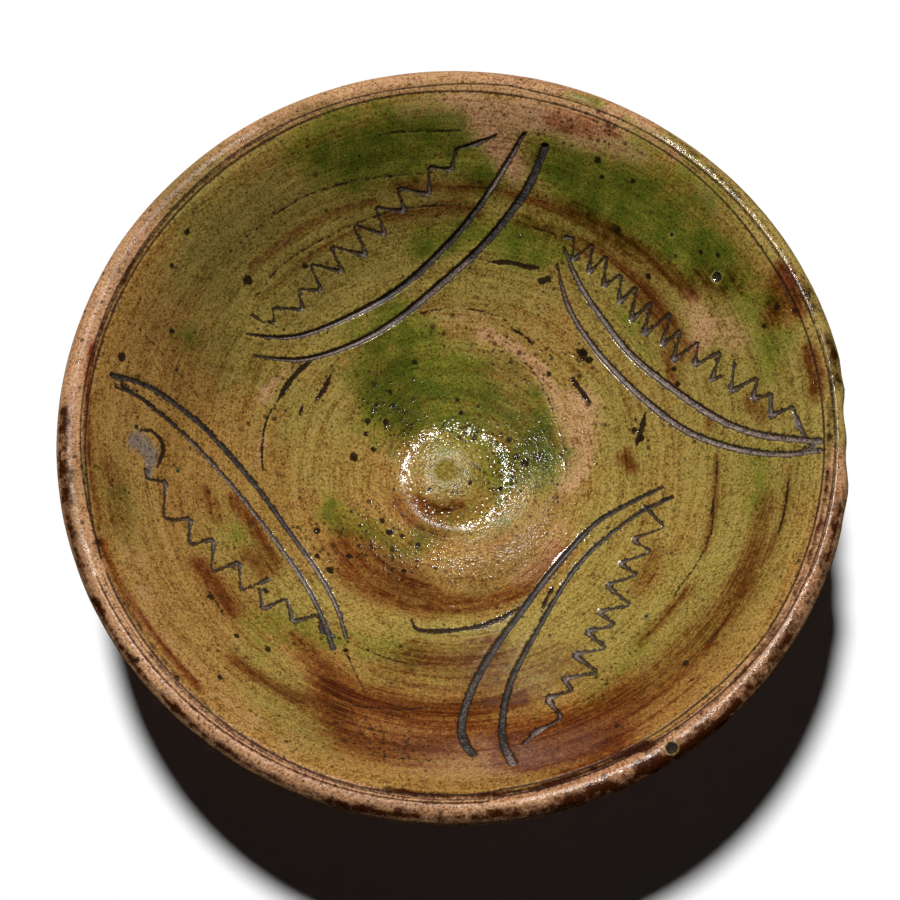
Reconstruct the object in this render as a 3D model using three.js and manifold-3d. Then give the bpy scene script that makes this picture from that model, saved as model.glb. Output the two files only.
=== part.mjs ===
// Footed bowl: a wheel-thrown earthenware bowl on a turned ring foot, dipped in pale slip,
// cut through to the clay with a gouge and a stylus, and covered with a clear lead glaze.
// The clay, the luted foot, the slip and the glaze are each one closed solid.
// Millimetres, +Z up. The origin is on the table, under the middle of the foot.

import * as THREE from 'three';
import { mergeVertices } from 'three/addons/utils/BufferGeometryUtils.js';
import Module from 'manifold-3d';

const wasm = await Module();
wasm.setup();

// Overall sizes, over the glaze
const RIM_DIAMETER = 250;
const HEIGHT = 72;

// Foot
const FOOT_DIAMETER = 94;
const FOOT_HEIGHT = 9;
const FOOT_WIDTH = 9;
const FOOT_SPLAY = 2;
const FOOT_BEVEL = 1.6;

// Underside of the bowl: flat where the foot is luted on, turned slightly hollow inside it
const BASE_LEDGE = 3;
const BASE_HOLLOW = 1.2;

// Well: the floor of the bowl, a shallow dish round a low boss left by the thumb
const WELL_DIAMETER = 112;
const WELL_DEPTH = 43;
const FLOOR_DEPTH = 54;
const BOSS_DIAMETER = 35;
const BOSS_HEIGHT = 2;
const DISH_POWER = 1.6;

// Wall
const WALL = 6.5;
const WALL_AT_WELL = 10.5;
const WALL_BOW = 2.4;

// Lip: a thick roll whose crest stands in from the outer edge
const LIP_WIDTH = 15;
const LIP_RISE = 6;
const LIP_CREST_INSET = 5.5;
const LIP_SHOULDER = 2.8;
const LIP_ROLL = 6;

// Coats
const SLIP = 0.8;
const GLAZE = 0.7;
const COAT_GAP = 0.3;
const SLIP_EDGE_INSET = 2;
const SLIP_EDGE_STEP = 1.2;

// Two lines scratched round the lip while the bowl turned
const RIM_LINE_INSETS = [9.4, 6.8];
const RIM_LINE_WIDTH = 1;
const RIM_LINE_DEPTH = 0.45;

// Four motifs, laid out as a pinwheel: each is a pair of gouged arcs with a zigzag outside it
const MOTIF_BEARINGS = [36, 118, 212, 317];
const ARC_RADIUS = 128;
const ARC_TO_AXIS = 62;
const ARC_SPACING = 8;
const ARC_SHORT_RUN = 36;
const ARC_LONG_RUN = 74;
const GOUGE_WIDTH = 3;
const GOUGE_TAPER = 0.12;
const GOUGE_TIP = 0.4;
const ZIGZAG_GAP = 6;
const ZIGZAG_HEIGHT = 11;
const ZIGZAG_SWELL = 0.6;
const ZIGZAG_TEETH = 9;
const ZIGZAG_MARGIN = 9;
const STYLUS_WIDTH = 1.3;
const CHANNEL_DEPTH = 0.4;

// Fineness of the turned surfaces and of the strokes
const TURNED_SIDES = 48;
const FLOOR_STEPS = 4;
const WALL_STEPS = 4;
const LIP_STEPS = 3;
const FOOT_STEPS = 2;
const ARC_STEPS = 9;
const MERGE_WITHIN = 1e-4;

const FIRED_CLAY = { color: 0xa5735a, roughness: 0.9, metalness: 0 };
const FOOT_CLAY = { color: 0x9c6a52, roughness: 0.95, metalness: 0 };
const PALE_SLIP = { color: 0xc9b68c, roughness: 0.8, metalness: 0 };
const LEAD_GLAZE = { color: 0xa8924f, roughness: 0.2, metalness: 0, transparent: true, opacity: 0.5 };

const COATS = COAT_GAP + SLIP + COAT_GAP + GLAZE;
const EDGE_COATS = COAT_GAP + GLAZE;
const rimRadius = RIM_DIAMETER / 2;
const footRadius = FOOT_DIAMETER / 2;
const degrees = THREE.MathUtils.degToRad;
const point = (r, z) => new THREE.Vector2(r, z);

// Clay surface

// The clay line runs from the axis across the floor, up the wall and over the lip.
function floorLine() {
  const bossRadius = BOSS_DIAMETER / 2;
  const wellRadius = WELL_DIAMETER / 2;
  const lowest = HEIGHT - FLOOR_DEPTH - COATS;
  const rise = FLOOR_DEPTH - WELL_DEPTH;
  const boss = [point(0, lowest + BOSS_HEIGHT), point(bossRadius, lowest)];
  const dish = [];
  for (let i = 1; i <= FLOOR_STEPS; i += 1) {
    const share = i / FLOOR_STEPS;
    const r = THREE.MathUtils.lerp(bossRadius, wellRadius, share);
    dish.push(point(r, lowest + rise * share ** DISH_POWER));
  }
  return [...boss, ...dish];
}

// The wall bows outwards from the straight line between its foot and its head.
function wallLine(foot, head) {
  const chord = head.clone().sub(foot);
  const outward = point(chord.y, -chord.x).normalize();
  const line = [];
  for (let i = 1; i <= WALL_STEPS; i += 1) {
    const share = i / WALL_STEPS;
    const bow = 4 * WALL_BOW * share * (1 - share);
    line.push(foot.clone().addScaledVector(chord, share).addScaledVector(outward, bow));
  }
  return line;
}

// The wall's own slope carries on into the lip and rolls over to level at the crest.
function lipInnerLine(before, start, peak) {
  const slope = start.clone().sub(before);
  const run = Math.min((peak.y - start.y) * (slope.x / slope.y), peak.x - start.x);
  const shoulder = point(start.x + run, peak.y);
  return new THREE.QuadraticBezierCurve(start, shoulder, peak).getPoints(LIP_STEPS).slice(1);
}

// Quarter ellipses from the crest to the widest point, and back under the lip.
function lipOuterLine(peak) {
  const reach = rimRadius - EDGE_COATS - peak.x;
  const slipEdge = Math.asin((LIP_CREST_INSET - SLIP_EDGE_INSET) / LIP_CREST_INSET);
  const stepped = slipEdge + SLIP_EDGE_STEP / Math.sqrt(reach * LIP_SHOULDER);
  const over = [slipEdge, stepped, (stepped + Math.PI / 2) / 2, Math.PI / 2].map((turn) =>
    point(peak.x + reach * Math.sin(turn), peak.y - LIP_SHOULDER * (1 - Math.cos(turn))));
  const widest = over[over.length - 1];
  const under = [];
  for (let i = 1; i <= LIP_STEPS; i += 1) {
    const turn = (Math.PI / 2) * (i / LIP_STEPS);
    under.push(point(widest.x - LIP_ROLL * (1 - Math.cos(turn)), widest.y - LIP_ROLL * Math.sin(turn)));
  }
  return { over, under };
}

const crest = point(rimRadius - LIP_CREST_INSET, HEIGHT - COATS);
const wallHead = point(rimRadius - LIP_WIDTH, HEIGHT - COATS - LIP_RISE);
const floor = floorLine();
const wellEdge = floor[floor.length - 1];
const wall = wallLine(wellEdge, wallHead);
const lipInner = lipInnerLine(wall[wall.length - 2], wallHead, crest);
const lipOuter = lipOuterLine(crest);

const slipLine = [...floor, ...wall, ...lipInner, lipOuter.over[0]];
const bareLine = [...lipOuter.over.slice(1), ...lipOuter.under];
const clayLine = [...slipLine, ...bareLine];

// Each point of a line moved square to it, on the side of the bowl's hollow and outer air.
function offsetLine(line, distanceAt) {
  return line.map((here, i) => {
    const before = line[Math.max(i - 1, 0)];
    const after = line[Math.min(i + 1, line.length - 1)];
    const along = after.clone().sub(before).normalize();
    const moved = point(here.x - along.y * distanceAt(i), here.y + along.x * distanceAt(i));
    return here.x === 0 ? point(0, here.y + distanceAt(i)) : moved;
  });
}

// Height of a line at a radius inside the crest.
function heightOn(line, radius) {
  const i = line.findIndex((here) => here.x >= radius);
  const before = line[i - 1];
  return before.y + (line[i].y - before.y) * (radius - before.x) / (line[i].x - before.x);
}

// A V-shaped line scratched round the lip.
function scratched(line, inset) {
  const radius = rimRadius - inset;
  const inner = radius - RIM_LINE_WIDTH / 2;
  const outer = radius + RIM_LINE_WIDTH / 2;
  const notch = [
    point(inner, heightOn(line, inner)),
    point(radius, heightOn(line, radius) - RIM_LINE_DEPTH),
    point(outer, heightOn(line, outer)),
  ];
  const until = line.findIndex((here) => here.x >= inner);
  const from = line.findIndex((here) => here.x > outer);
  return [...line.slice(0, until), ...notch, ...line.slice(from)];
}

const glazeOffset = (i) => (i < slipLine.length ? COATS : EDGE_COATS);
const slipUnder = offsetLine(clayLine, () => COAT_GAP).slice(0, slipLine.length);
const slipSmooth = offsetLine(clayLine, () => COAT_GAP + SLIP).slice(0, slipLine.length);
const slipTop = RIM_LINE_INSETS.reduce(scratched, slipSmooth);
const glazeUnder = offsetLine(clayLine, (i) => glazeOffset(i) - GLAZE);
const glazeTop = RIM_LINE_INSETS.reduce(scratched, offsetLine(clayLine, glazeOffset));

// Solids

// A profile of radius and height, turned about +Z.
function lathe(profile) {
  return new THREE.LatheGeometry(profile, TURNED_SIDES).rotateX(Math.PI / 2);
}

// LatheGeometry wants its profile anticlockwise seen with the axis on the left.
function shell(under, top) {
  return lathe([...under, ...[...top].reverse()]);
}

function toSolid(geometry) {
  const bare = geometry.clone();
  bare.deleteAttribute('normal');
  bare.deleteAttribute('uv');
  const merged = mergeVertices(bare, MERGE_WITHIN);
  const index = [];
  for (let i = 0; i < merged.index.count; i += 3) {
    const corners = [0, 1, 2].map((k) => merged.index.getX(i + k));
    if (new Set(corners).size === 3) index.push(...corners);
  }
  return new wasm.Manifold(new wasm.Mesh({
    numProp: 3,
    vertProperties: new Float32Array(merged.attributes.position.array),
    triVerts: new Uint32Array(index),
  }));
}

function toGeometry(solid) {
  const mesh = solid.getMesh();
  const geometry = new THREE.BufferGeometry();
  geometry.setAttribute('position', new THREE.BufferAttribute(new Float32Array(mesh.vertProperties), 3));
  geometry.setIndex(Array.from(mesh.triVerts));
  geometry.computeVertexNormals();
  return geometry;
}

// Decoration

// The outline of a drawn stroke in plan: its points widened to both sides, with mitred corners.
function strokeShape(line, widthAt) {
  const left = [];
  const right = [];
  line.forEach((here, i) => {
    const before = line[Math.max(i - 1, 0)];
    const after = line[Math.min(i + 1, line.length - 1)];
    const arriving = i > 0 ? here.clone().sub(before).normalize() : after.clone().sub(here).normalize();
    const leaving = i < line.length - 1 ? after.clone().sub(here).normalize() : arriving;
    const normal = point(-arriving.y - leaving.y, arriving.x + leaving.x).normalize();
    const mitre = normal.dot(point(-arriving.y, arriving.x));
    const reach = widthAt(i / (line.length - 1)) / 2 / mitre;
    left.push(here.clone().addScaledVector(normal, reach));
    right.unshift(here.clone().addScaledVector(normal, -reach));
  });
  return new THREE.Shape([...left, ...right]);
}

function strokeCutter(shape) {
  return toSolid(new THREE.ExtrudeGeometry(shape, { depth: HEIGHT, bevelEnabled: false }));
}

// Each arc bends away from the axis, about a centre outside the rim on the motif's bearing.
// A turn of 0 is where it comes nearest to the axis.
function motifPoint(bearing, radius, turn) {
  const out = degrees(bearing);
  const facing = out + Math.PI + turn;
  const centre = ARC_RADIUS + ARC_TO_AXIS;
  return point(
    centre * Math.cos(out) + radius * Math.cos(facing),
    centre * Math.sin(out) + radius * Math.sin(facing),
  );
}

function gougeCutter(bearing, radius) {
  const line = [];
  for (let i = 0; i <= ARC_STEPS; i += 1) {
    const run = THREE.MathUtils.lerp(-ARC_SHORT_RUN, ARC_LONG_RUN, i / ARC_STEPS);
    line.push(motifPoint(bearing, radius, run / ARC_RADIUS));
  }
  const widthAt = (share) => {
    const fromEnd = Math.min(share, 1 - share) / GOUGE_TAPER;
    return GOUGE_WIDTH * THREE.MathUtils.lerp(GOUGE_TIP, 1, Math.min(fromEnd, 1));
  };
  return strokeCutter(strokeShape(line, widthAt));
}

// The zigzag swells in the middle of its run.
function zigzagCutter(bearing) {
  const nearRadius = ARC_RADIUS - GOUGE_WIDTH / 2 - ZIGZAG_GAP;
  const corners = 2 * ZIGZAG_TEETH;
  const line = [];
  for (let i = 0; i <= corners; i += 1) {
    const share = i / corners;
    const run = THREE.MathUtils.lerp(ZIGZAG_MARGIN - ARC_SHORT_RUN, ARC_LONG_RUN - ZIGZAG_MARGIN, share);
    const swell = THREE.MathUtils.lerp(ZIGZAG_SWELL, 1, Math.sin(Math.PI * share));
    const radius = nearRadius - (i % 2 ? ZIGZAG_HEIGHT * swell : 0);
    line.push(motifPoint(bearing, radius, run / ARC_RADIUS));
  }
  return strokeCutter(strokeShape(line, () => STYLUS_WIDTH));
}

function joined(solids) {
  return solids.reduce((all, solid) => all.add(solid));
}

// Pieces

// The wall thickens from the lip down to the edge of the well, and runs straight from there
// to the ledge that the foot is luted to.
function bowlBody() {
  const underLip = clayLine[clayLine.length - 1];
  const outside = offsetLine([...floor, ...wall], (i) => {
    const share = Math.max(0, i - floor.length + 1) / WALL_STEPS;
    return -THREE.MathUtils.lerp(WALL_AT_WELL, WALL, share);
  }).slice(floor.length - 1);
  const footTop = footRadius - FOOT_SPLAY;
  const hollowEdge = footTop - FOOT_WIDTH;
  return lathe([
    point(0, FOOT_HEIGHT + BASE_HOLLOW),
    point(hollowEdge / 2, FOOT_HEIGHT + BASE_HOLLOW),
    point(hollowEdge, FOOT_HEIGHT),
    point(footTop + BASE_LEDGE, FOOT_HEIGHT),
    ...outside.filter((here) => here.x < underLip.x && here.y < underLip.y),
    ...[...clayLine].reverse(),
  ]);
}

// The ring's two sides flare alike, from the luted joint down to the face it stands on.
function footRing() {
  const top = footRadius - FOOT_SPLAY;
  const flare = new THREE.QuadraticBezierCurve(
    point(footRadius, FOOT_BEVEL),
    point(top, FOOT_BEVEL),
    point(top, FOOT_HEIGHT),
  ).getPoints(FOOT_STEPS);
  const inside = flare.map((here) => point(here.x - FOOT_WIDTH, here.y)).reverse();
  return lathe([
    point(footRadius - FOOT_WIDTH + FOOT_BEVEL, 0),
    point(footRadius - FOOT_BEVEL, 0),
    ...flare,
    ...inside,
    point(footRadius - FOOT_WIDTH + FOOT_BEVEL, 0),
  ]);
}

const gouges = joined(MOTIF_BEARINGS.flatMap((bearing) => [
  gougeCutter(bearing, ARC_RADIUS),
  gougeCutter(bearing, ARC_RADIUS + ARC_SPACING),
]));
const zigzags = joined(MOTIF_BEARINGS.map(zigzagCutter));

function slipCoat() {
  return toGeometry(toSolid(shell(slipUnder, slipTop)).subtract(gouges).subtract(zigzags));
}

// The glaze sinks into the wide gouges but stays whole.
function glazeCoat() {
  const low = offsetLine(clayLine, (i) => glazeOffset(i) - CHANNEL_DEPTH);
  const high = offsetLine(clayLine, (i) => glazeOffset(i) + CHANNEL_DEPTH);
  const skin = toSolid(shell(low.slice(0, slipLine.length), high.slice(0, slipLine.length)));
  return toGeometry(toSolid(shell(glazeUnder, glazeTop)).subtract(gouges.intersect(skin)));
}

const bowl = new THREE.Group();

function addPiece(name, geometry, finish) {
  const mesh = new THREE.Mesh(geometry, new THREE.MeshStandardMaterial(finish));
  mesh.name = name;
  bowl.add(mesh);
}

addPiece('bowl_body', bowlBody(), FIRED_CLAY);
addPiece('foot_ring', footRing(), FOOT_CLAY);
addPiece('slip_coat', slipCoat(), PALE_SLIP);
addPiece('glaze_coat', glazeCoat(), LEAD_GLAZE);

export default bowl;
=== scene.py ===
"""Footed earthenware bowl with cut arcs and zigzags under a mottled lead glaze.

Lengths are in metres, and the sections and marks below are written in millimetres.
A mark that was read off the photograph is a list of pixels in its 900 x 900 frame,
and the camera casts each of them onto the glaze.
"""

import math

import bpy
import numpy as np
from bpy.props import FloatProperty, FloatVectorProperty, PointerProperty
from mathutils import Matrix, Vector


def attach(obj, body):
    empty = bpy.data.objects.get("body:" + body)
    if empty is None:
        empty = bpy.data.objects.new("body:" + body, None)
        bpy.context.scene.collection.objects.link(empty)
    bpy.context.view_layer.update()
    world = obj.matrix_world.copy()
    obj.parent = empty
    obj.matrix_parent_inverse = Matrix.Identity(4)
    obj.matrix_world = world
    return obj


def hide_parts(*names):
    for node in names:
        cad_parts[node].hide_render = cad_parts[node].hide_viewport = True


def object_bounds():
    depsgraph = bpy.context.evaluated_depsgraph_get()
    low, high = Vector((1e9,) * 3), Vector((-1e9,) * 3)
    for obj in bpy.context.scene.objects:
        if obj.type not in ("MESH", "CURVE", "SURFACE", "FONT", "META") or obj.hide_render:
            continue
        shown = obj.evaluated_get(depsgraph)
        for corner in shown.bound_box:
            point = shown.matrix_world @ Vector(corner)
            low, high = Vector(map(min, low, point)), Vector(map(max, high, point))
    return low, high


bl_info = {
    "name": "Footed slipware bowl",
    "version": (1, 0, 0),
    "blender": (4, 5, 0),
    "location": "3D View > Sidebar > Bowl",
    "description": "Builds a thrown, slipped and glazed bowl on its turned foot",
    "category": "Add Mesh",
}

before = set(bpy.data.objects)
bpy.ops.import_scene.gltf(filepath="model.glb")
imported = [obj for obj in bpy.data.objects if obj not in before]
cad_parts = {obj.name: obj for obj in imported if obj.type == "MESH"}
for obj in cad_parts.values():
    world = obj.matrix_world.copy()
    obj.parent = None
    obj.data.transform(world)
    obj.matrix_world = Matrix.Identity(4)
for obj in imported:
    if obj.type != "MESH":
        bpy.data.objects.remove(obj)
CAD_LOW, CAD_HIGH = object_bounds()
MM = 0.001

# Kinds of shader node. A socket whose name isn't the only one is given by its number: a range takes its
# value, the two ends that come in and the two that go out, and a mix takes its share and, as 6 and 7,
# the two tones.

COORDINATES = "ShaderNodeTexCoord"
ATTRIBUTE = "ShaderNodeAttribute"
NOISE = "ShaderNodeTexNoise"
MATH = "ShaderNodeMath"
VECTOR = "ShaderNodeVectorMath"
RANGE = "ShaderNodeMapRange"
MIX = "ShaderNodeMix"
TONES = {"output": 2, "data_type": "RGBA"}

# Sections of the bowl, as radius and height in millimetres

SHOW_SECTION = [
    (0, 19.7), (5.5, 19.5), (10, 18.9), (13.5, 18.1), (15.9, 17.6), (17.5, 17.45), (19.2, 17.7),
    (22, 18.3), (26.7, 19.3), (36.1, 21.5), (45.6, 24.6), (55.1, 28.6), (69.5, 36.3), (83.2, 45.0),
    (96.2, 54.6), (108.6, 65.3), (112.9, 68.7), (115.3, 70.0), (117.9, 71.0), (120.2, 71.4),
    (122.2, 70.95), (123.7, 69.7), (124.7, 68.0), (124.9, 66.3), (124.5, 64.2), (123.2, 61.7),
    (121.2, 59.5), (118.4, 58.4),
]
SKIN_EDGE = (118.1, 58.9)
COAT = 1.6
CLAY_GAP = 0.3
LIP_START = 113.2
LIP_CREST = 120.8
WALL_OUTSIDE = [
    (117.6, 59.0), (114.6, 58.9), (110.3, 54.9), (102.4, 47.2), (89.4, 36.3), (75.5, 26.4),
    (60.8, 17.4), (54, 12.9), (48, 9.2), (45.2, 9),
]
BASE_INSIDE = [(36, 9), (34, 9.4), (26, 10), (14, 10.2), (0, 10.2)]
FOOT_SECTION = [
    (45.0, 8.98), (45.3, 6.4), (45.5, 3.6), (46.8, 1.8), (46.4, 0.8), (45.3, 0.1), (42.4, 0.06),
    (39.7, 0.1), (38.5, 0.8), (38.2, 1.8), (36.8, 3.6), (36.3, 6.4), (36.1, 8.98),
]

# The photograph's frame in pixels, and the camera's sensor in millimetres

PHOTO_SIZE = 900
SENSOR_WIDTH = 36

# How finely the pieces are meshed: steps round the axis, then in millimetres the spacings along their
# sections and how near points are merged

GLAZE_STEPS = 300
CLAY_STEPS = 200
FOOT_STEPS = 160
DRAWN_SPACING = 0.05
RING_SPACING = 1.5
GROOVE_SPACING = 0.33
LIP_SPACING = 1.0
WALL_SPACING = 1.2
BASE_SPACING = 2.0
FOOT_SPACING = 0.8
MERGE_DISTANCE = 0.01

# Near a stroke the glaze is meshed finer: how far beyond its edge, in millimetres, how often a face is
# divided at a cut and at a fine mark, and the area in square millimetres under which each is left

EDGE_REACH = 0.7
CUT_DIVISIONS = 3
CUT_FACE_AREA = 0.0
MARK_DIVISIONS = 2
MARK_FACE_AREA = 0.6

# The least height of a normal on the glaze's show side, on what is meshed finer, and on the show side of
# the clay, which is left unturned

SHOWING_RISE = 0.1
REFINED_RISE = 0.2
CLAY_SHOW_RISE = 0.3

# Pixels between the points of a line that is cast onto the glaze, and how often a free sweep is smoothed

PATCH_STEP = 12
LINE_STEP = 6
SWEEP_STEP = 5
SWEEP_PASSES = 10

# How far out a stroke is felt, in millimetres, and a patch, in half widths, how fast a patch fades, and
# the distance that stands for further off

STROKE_REACH = 4.0
WASH_REACH = 2.4
WASH_FADE = 1.1
FAR_OFF = 1e3

# Gouged arcs: pixels along each, then half widths in millimetres at its start, middle and end

GOUGES = [
    ([(247, 334), (275, 338), (301, 336), (345, 319), (402, 287), (450, 242), (479, 207), (502, 172),
      (524, 134)], (0.35, 1.2, 0.7)),
    ([(255, 356), (285, 360), (310, 359), (359, 342), (402, 316), (450, 276), (479, 250), (507, 218),
      (530, 184), (545, 147)], (0.35, 1.25, 1.35)),
    ([(564, 248), (572, 270), (586, 296), (606, 324), (624, 348), (644, 367), (666, 384), (689, 401),
      (712, 416), (736, 428), (760, 435), (790, 439), (821, 441)], (0.45, 1.25, 0.9)),
    ([(557, 265), (561, 284), (569, 310), (585, 336), (600, 355), (619, 376), (641, 397), (666, 418),
      (691, 434), (715, 443), (740, 450), (768, 454), (795, 454), (820, 450)], (0.3, 1.15, 0.8)),
    ([(662, 487), (628, 504), (596, 522), (570, 550), (545, 579), (522, 611), (499, 641), (476, 679),
      (464, 710), (460, 738), (473, 754)], (0.5, 1.15, 1.5)),
    ([(672, 497), (645, 509), (611, 533), (580, 562), (562, 587), (545, 616), (527, 648), (510, 682),
      (503, 714), (502, 743), (513, 763)], (0.6, 0.85, 1.45)),
    ([(112, 375), (143, 383), (172, 401), (201, 424), (230, 455), (258, 488), (284, 524), (310, 560),
      (328, 588), (340, 614), (346, 637)], (0.8, 0.95, 0.6)),
    ([(116, 387), (135, 393), (155, 409), (178, 428), (204, 454), (230, 483), (256, 515), (281, 548),
      (302, 578), (317, 605), (328, 630), (333, 648)], (0.55, 0.75, 0.95)),
]

# Zigzags scratched beside the arcs: pixels at their turns, half widths, and which turn is the first
# of those where the tool lingers and cuts a broad floor

ZIGZAGS = [
    ([(253, 315), (262, 322), (275, 323), (273, 308), (303, 310), (298, 289), (322, 291), (310, 264),
      (343, 272), (330, 246), (367, 256), (353, 225), (386, 235), (375, 207), (405, 212), (397, 187),
      (430, 195), (428, 167), (452, 170), (456, 149), (479, 143), (497, 135)], (0.35, 0.5, 0.6), 0),
    ([(566, 237), (574, 238), (572, 261), (593, 243), (588, 274), (607, 255), (603, 287), (621, 274),
      (619, 303), (637, 286), (630, 322), (652, 301), (643, 336), (671, 312), (661, 346), (681, 330),
      (672, 362), (698, 341), (694, 366), (721, 351), (711, 380), (722, 376)], (0.45, 0.6, 0.6), 0),
    ([(734, 363), (730, 392), (757, 377), (752, 399), (771, 393), (770, 416), (792, 406), (798, 425),
      (806, 439)], (0.6, 0.7, 0.8), 1),
    ([(645, 507), (665, 527), (632, 539), (652, 552), (619, 563), (638, 575), (606, 585), (631, 605),
      (598, 611), (615, 625), (586, 631), (606, 648), (573, 654), (598, 672), (564, 678), (572, 690),
      (547, 698), (562, 718), (537, 731), (523, 744)], (0.5, 0.65, 0.9), 0),
    ([(146, 470), (147, 479), (166, 482), (164, 519), (191, 519), (189, 545), (214, 539), (212, 572),
      (240, 562), (241, 591), (271, 578)], (0.45, 0.5, 0.5), 0),
    ([(260, 588), (263, 609), (287, 598), (293, 622), (319, 614), (323, 631), (334, 637)],
      (0.5, 0.6, 0.9), 1),
]

# Lines turned just inside the lip: bearing in degrees and radius in millimetres, then the half width.
# The turner's tool wandered: one line winds in from the crest, and the other stays about 2 mm inside.

RIM_LINES = [
    ([(203, 120), (215, 119.6), (240, 119.2), (275, 118.8), (277, 117.6), (300, 116.9), (311, 117.3),
      (325, 118.7), (340, 119.2), (372, 119.4), (400, 119.1), (437, 118.6), (441, 119.1), (455, 117.9),
      (480, 117.7), (500, 117.1), (540, 116.9), (557, 116.2)], 0.22),
    ([(203, 116.8), (230, 117), (255, 117.4), (265, 116.5), (275, 116.2), (277, 115.3), (300, 114.8),
      (310, 114.8), (325, 116.3), (360, 116), (378, 116.3), (390, 115.8), (412, 116.7), (440, 116.2),
      (470, 116), (490, 115.4), (515, 115), (550, 115.4), (557, 116.1), (562, 116.8)], 0.28),
    ([(203, 118.1), (240, 118.2), (275, 117.8), (277, 116.7), (300, 115.9), (315, 116.6)], 0.12),
    ([(218, 117.6), (245, 117.8), (268, 117.2)], 0.1), ([(335, 119.7), (360, 119.9), (379, 120.1)], 0.1),
    ([(381, 118.7), (412, 118.6)], 0.1), ([(478, 117.1), (500, 116.5), (530, 116.2)], 0.14),
]

# Fine dark lines left by the wheel, the brush and the tool: pixels, then half width

WHEEL_LINES = [
    ([(489, 262), (512, 263), (526, 267), (540, 268)], 0.95),
    ([(411, 618), (417, 629), (433, 631), (452, 630), (480, 626), (505, 616), (526, 603)], 1.1),
    ([(312, 360), (297, 373), (285, 389), (277, 402)], 0.95),
    ([(277, 402), (269, 415), (264, 432), (262, 455), (263, 470)], 0.5),
    ([(331, 375), (324, 390), (315, 402)], 0.8), ([(303, 404), (300, 415)], 0.7),
    ([(417, 314), (450, 308), (485, 312), (510, 322)], 0.3), ([(510, 328), (524, 336), (533, 345)], 0.4),
    ([(522, 360), (534, 372), (548, 398), (556, 420)], 0.25), ([(645, 413), (641, 430), (636, 446)], 1.1),
    ([(577, 349), (588, 362)], 1.2), ([(556, 420), (564, 445), (566, 472)], 0.2),
    ([(572, 378), (580, 390), (590, 402)], 0.95), ([(553, 586), (546, 600), (541, 612)], 0.8),
    ([(347, 642), (385, 657), (413, 664), (440, 663)], 0.3),
    ([(232, 251), (255, 230), (290, 205), (316, 192), (360, 180), (402, 175), (430, 173)], 0.3),
    ([(253, 301), (287, 261), (354, 225), (409, 208), (482, 204)], 0.3),
    ([(376, 136), (400, 132), (463, 131)], 0.4), ([(527, 226), (545, 231), (562, 238)], 0.35),
    ([(714, 490), (711, 533), (699, 560), (687, 577), (672, 598), (659, 615)], 0.28),
    ([(717, 452), (716, 480), (710, 520)], 0.3), ([(789, 478), (784, 512), (776, 540)], 0.5),
    ([(324, 700), (360, 706), (400, 709), (430, 706), (450, 700)], 0.3),
    ([(360, 753), (400, 758), (440, 760)], 0.3), ([(345, 650), (356, 674), (361, 684), (366, 697)], 0.3),
    ([(115, 305), (150, 340), (185, 380), (215, 420)], 0.15), ([(463, 74), (463, 84)], 0.3),
    ([(398, 765), (403, 790), (409, 822)], 0.22), ([(205, 585), (215, 600), (226, 618)], 0.25),
    ([(146, 470), (150, 495), (160, 525)], 0.15),
]

# Single spots of iron: pixel, then radius

DARK_SPOTS = [
    ((248, 280), 1.6), ((305, 266), 1.1), ((187, 232), 1), ((172, 266), 0.9), ((122, 357), 1.5),
    ((598, 160), 1.1), ((617, 230), 1.3), ((633, 181), 0.9), ((602, 177), 0.9), ((648, 276), 1),
    ((701, 252), 0.8), ((718, 255), 0.8), ((777, 307), 1.1), ((764, 326), 0.9), ((796, 310), 0.9),
    ((678, 384), 1), ((674, 369), 0.9), ((178, 470), 0.9), ((137, 660), 0.9), ((237, 636), 1),
    ((220, 677), 1), ((268, 649), 1.1), ((685, 663), 1.2), ((646, 616), 0.9), ((330, 570), 1.3),
    ((266, 590), 1.1), ((542, 281), 1.3), ((548, 279), 1.2), ((172, 331), 1), ((617, 726), 0.9),
    ((430, 490), 0.9), ((466, 432), 1.2), ((474, 437), 1), ((503, 471), 1.1), ((516, 457), 0.9),
    ((525, 463), 1.3), ((537, 457), 1.2), ((470, 483), 0.9), ((500, 489), 0.9), ((386, 422), 1),
    ((368, 421), 1), ((366, 434), 0.9), ((390, 392), 0.8), ((415, 362), 0.9), ((373, 449), 0.9),
    ((354, 457), 1.4), ((317, 531), 1.1), ((317, 556), 0.9), ((349, 556), 1), ((389, 532), 1.1),
    ((402, 536), 0.8), ((418, 545), 0.9), ((382, 520), 0.9), ((404, 571), 0.8), ((457, 400), 0.8),
    ((461, 413), 0.8), ((509, 440), 0.9), ((549, 374), 0.9), ((634, 430), 1), ((641, 438), 1.2),
    ((584, 352), 1.3), ((590, 360), 1), ((211, 597), 1.2), ((346, 650), 0.9), ((606, 516), 0.7),
]

# Burst bubbles, each a dark pit in a paler rim: pixel, radius and depth

PITS = [
    ((716.6, 277), 1.75, 1), ((671.6, 235), 0.75, 0.5), ((672, 748), 1.9, 1.2), ((137, 427), 0.9, 0.6),
    ((430, 490), 0.9, 0.4), ((178, 471), 0.6, 0.3), ((466, 432), 0.8, 0.3), ((503, 471), 0.8, 0.3),
    ((495, 485), 0.8, 0.3), ((646, 616), 0.6, 0.3),
]

# Soft-edged patches: pixels along each, its half width in millimetres and its strength

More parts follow.
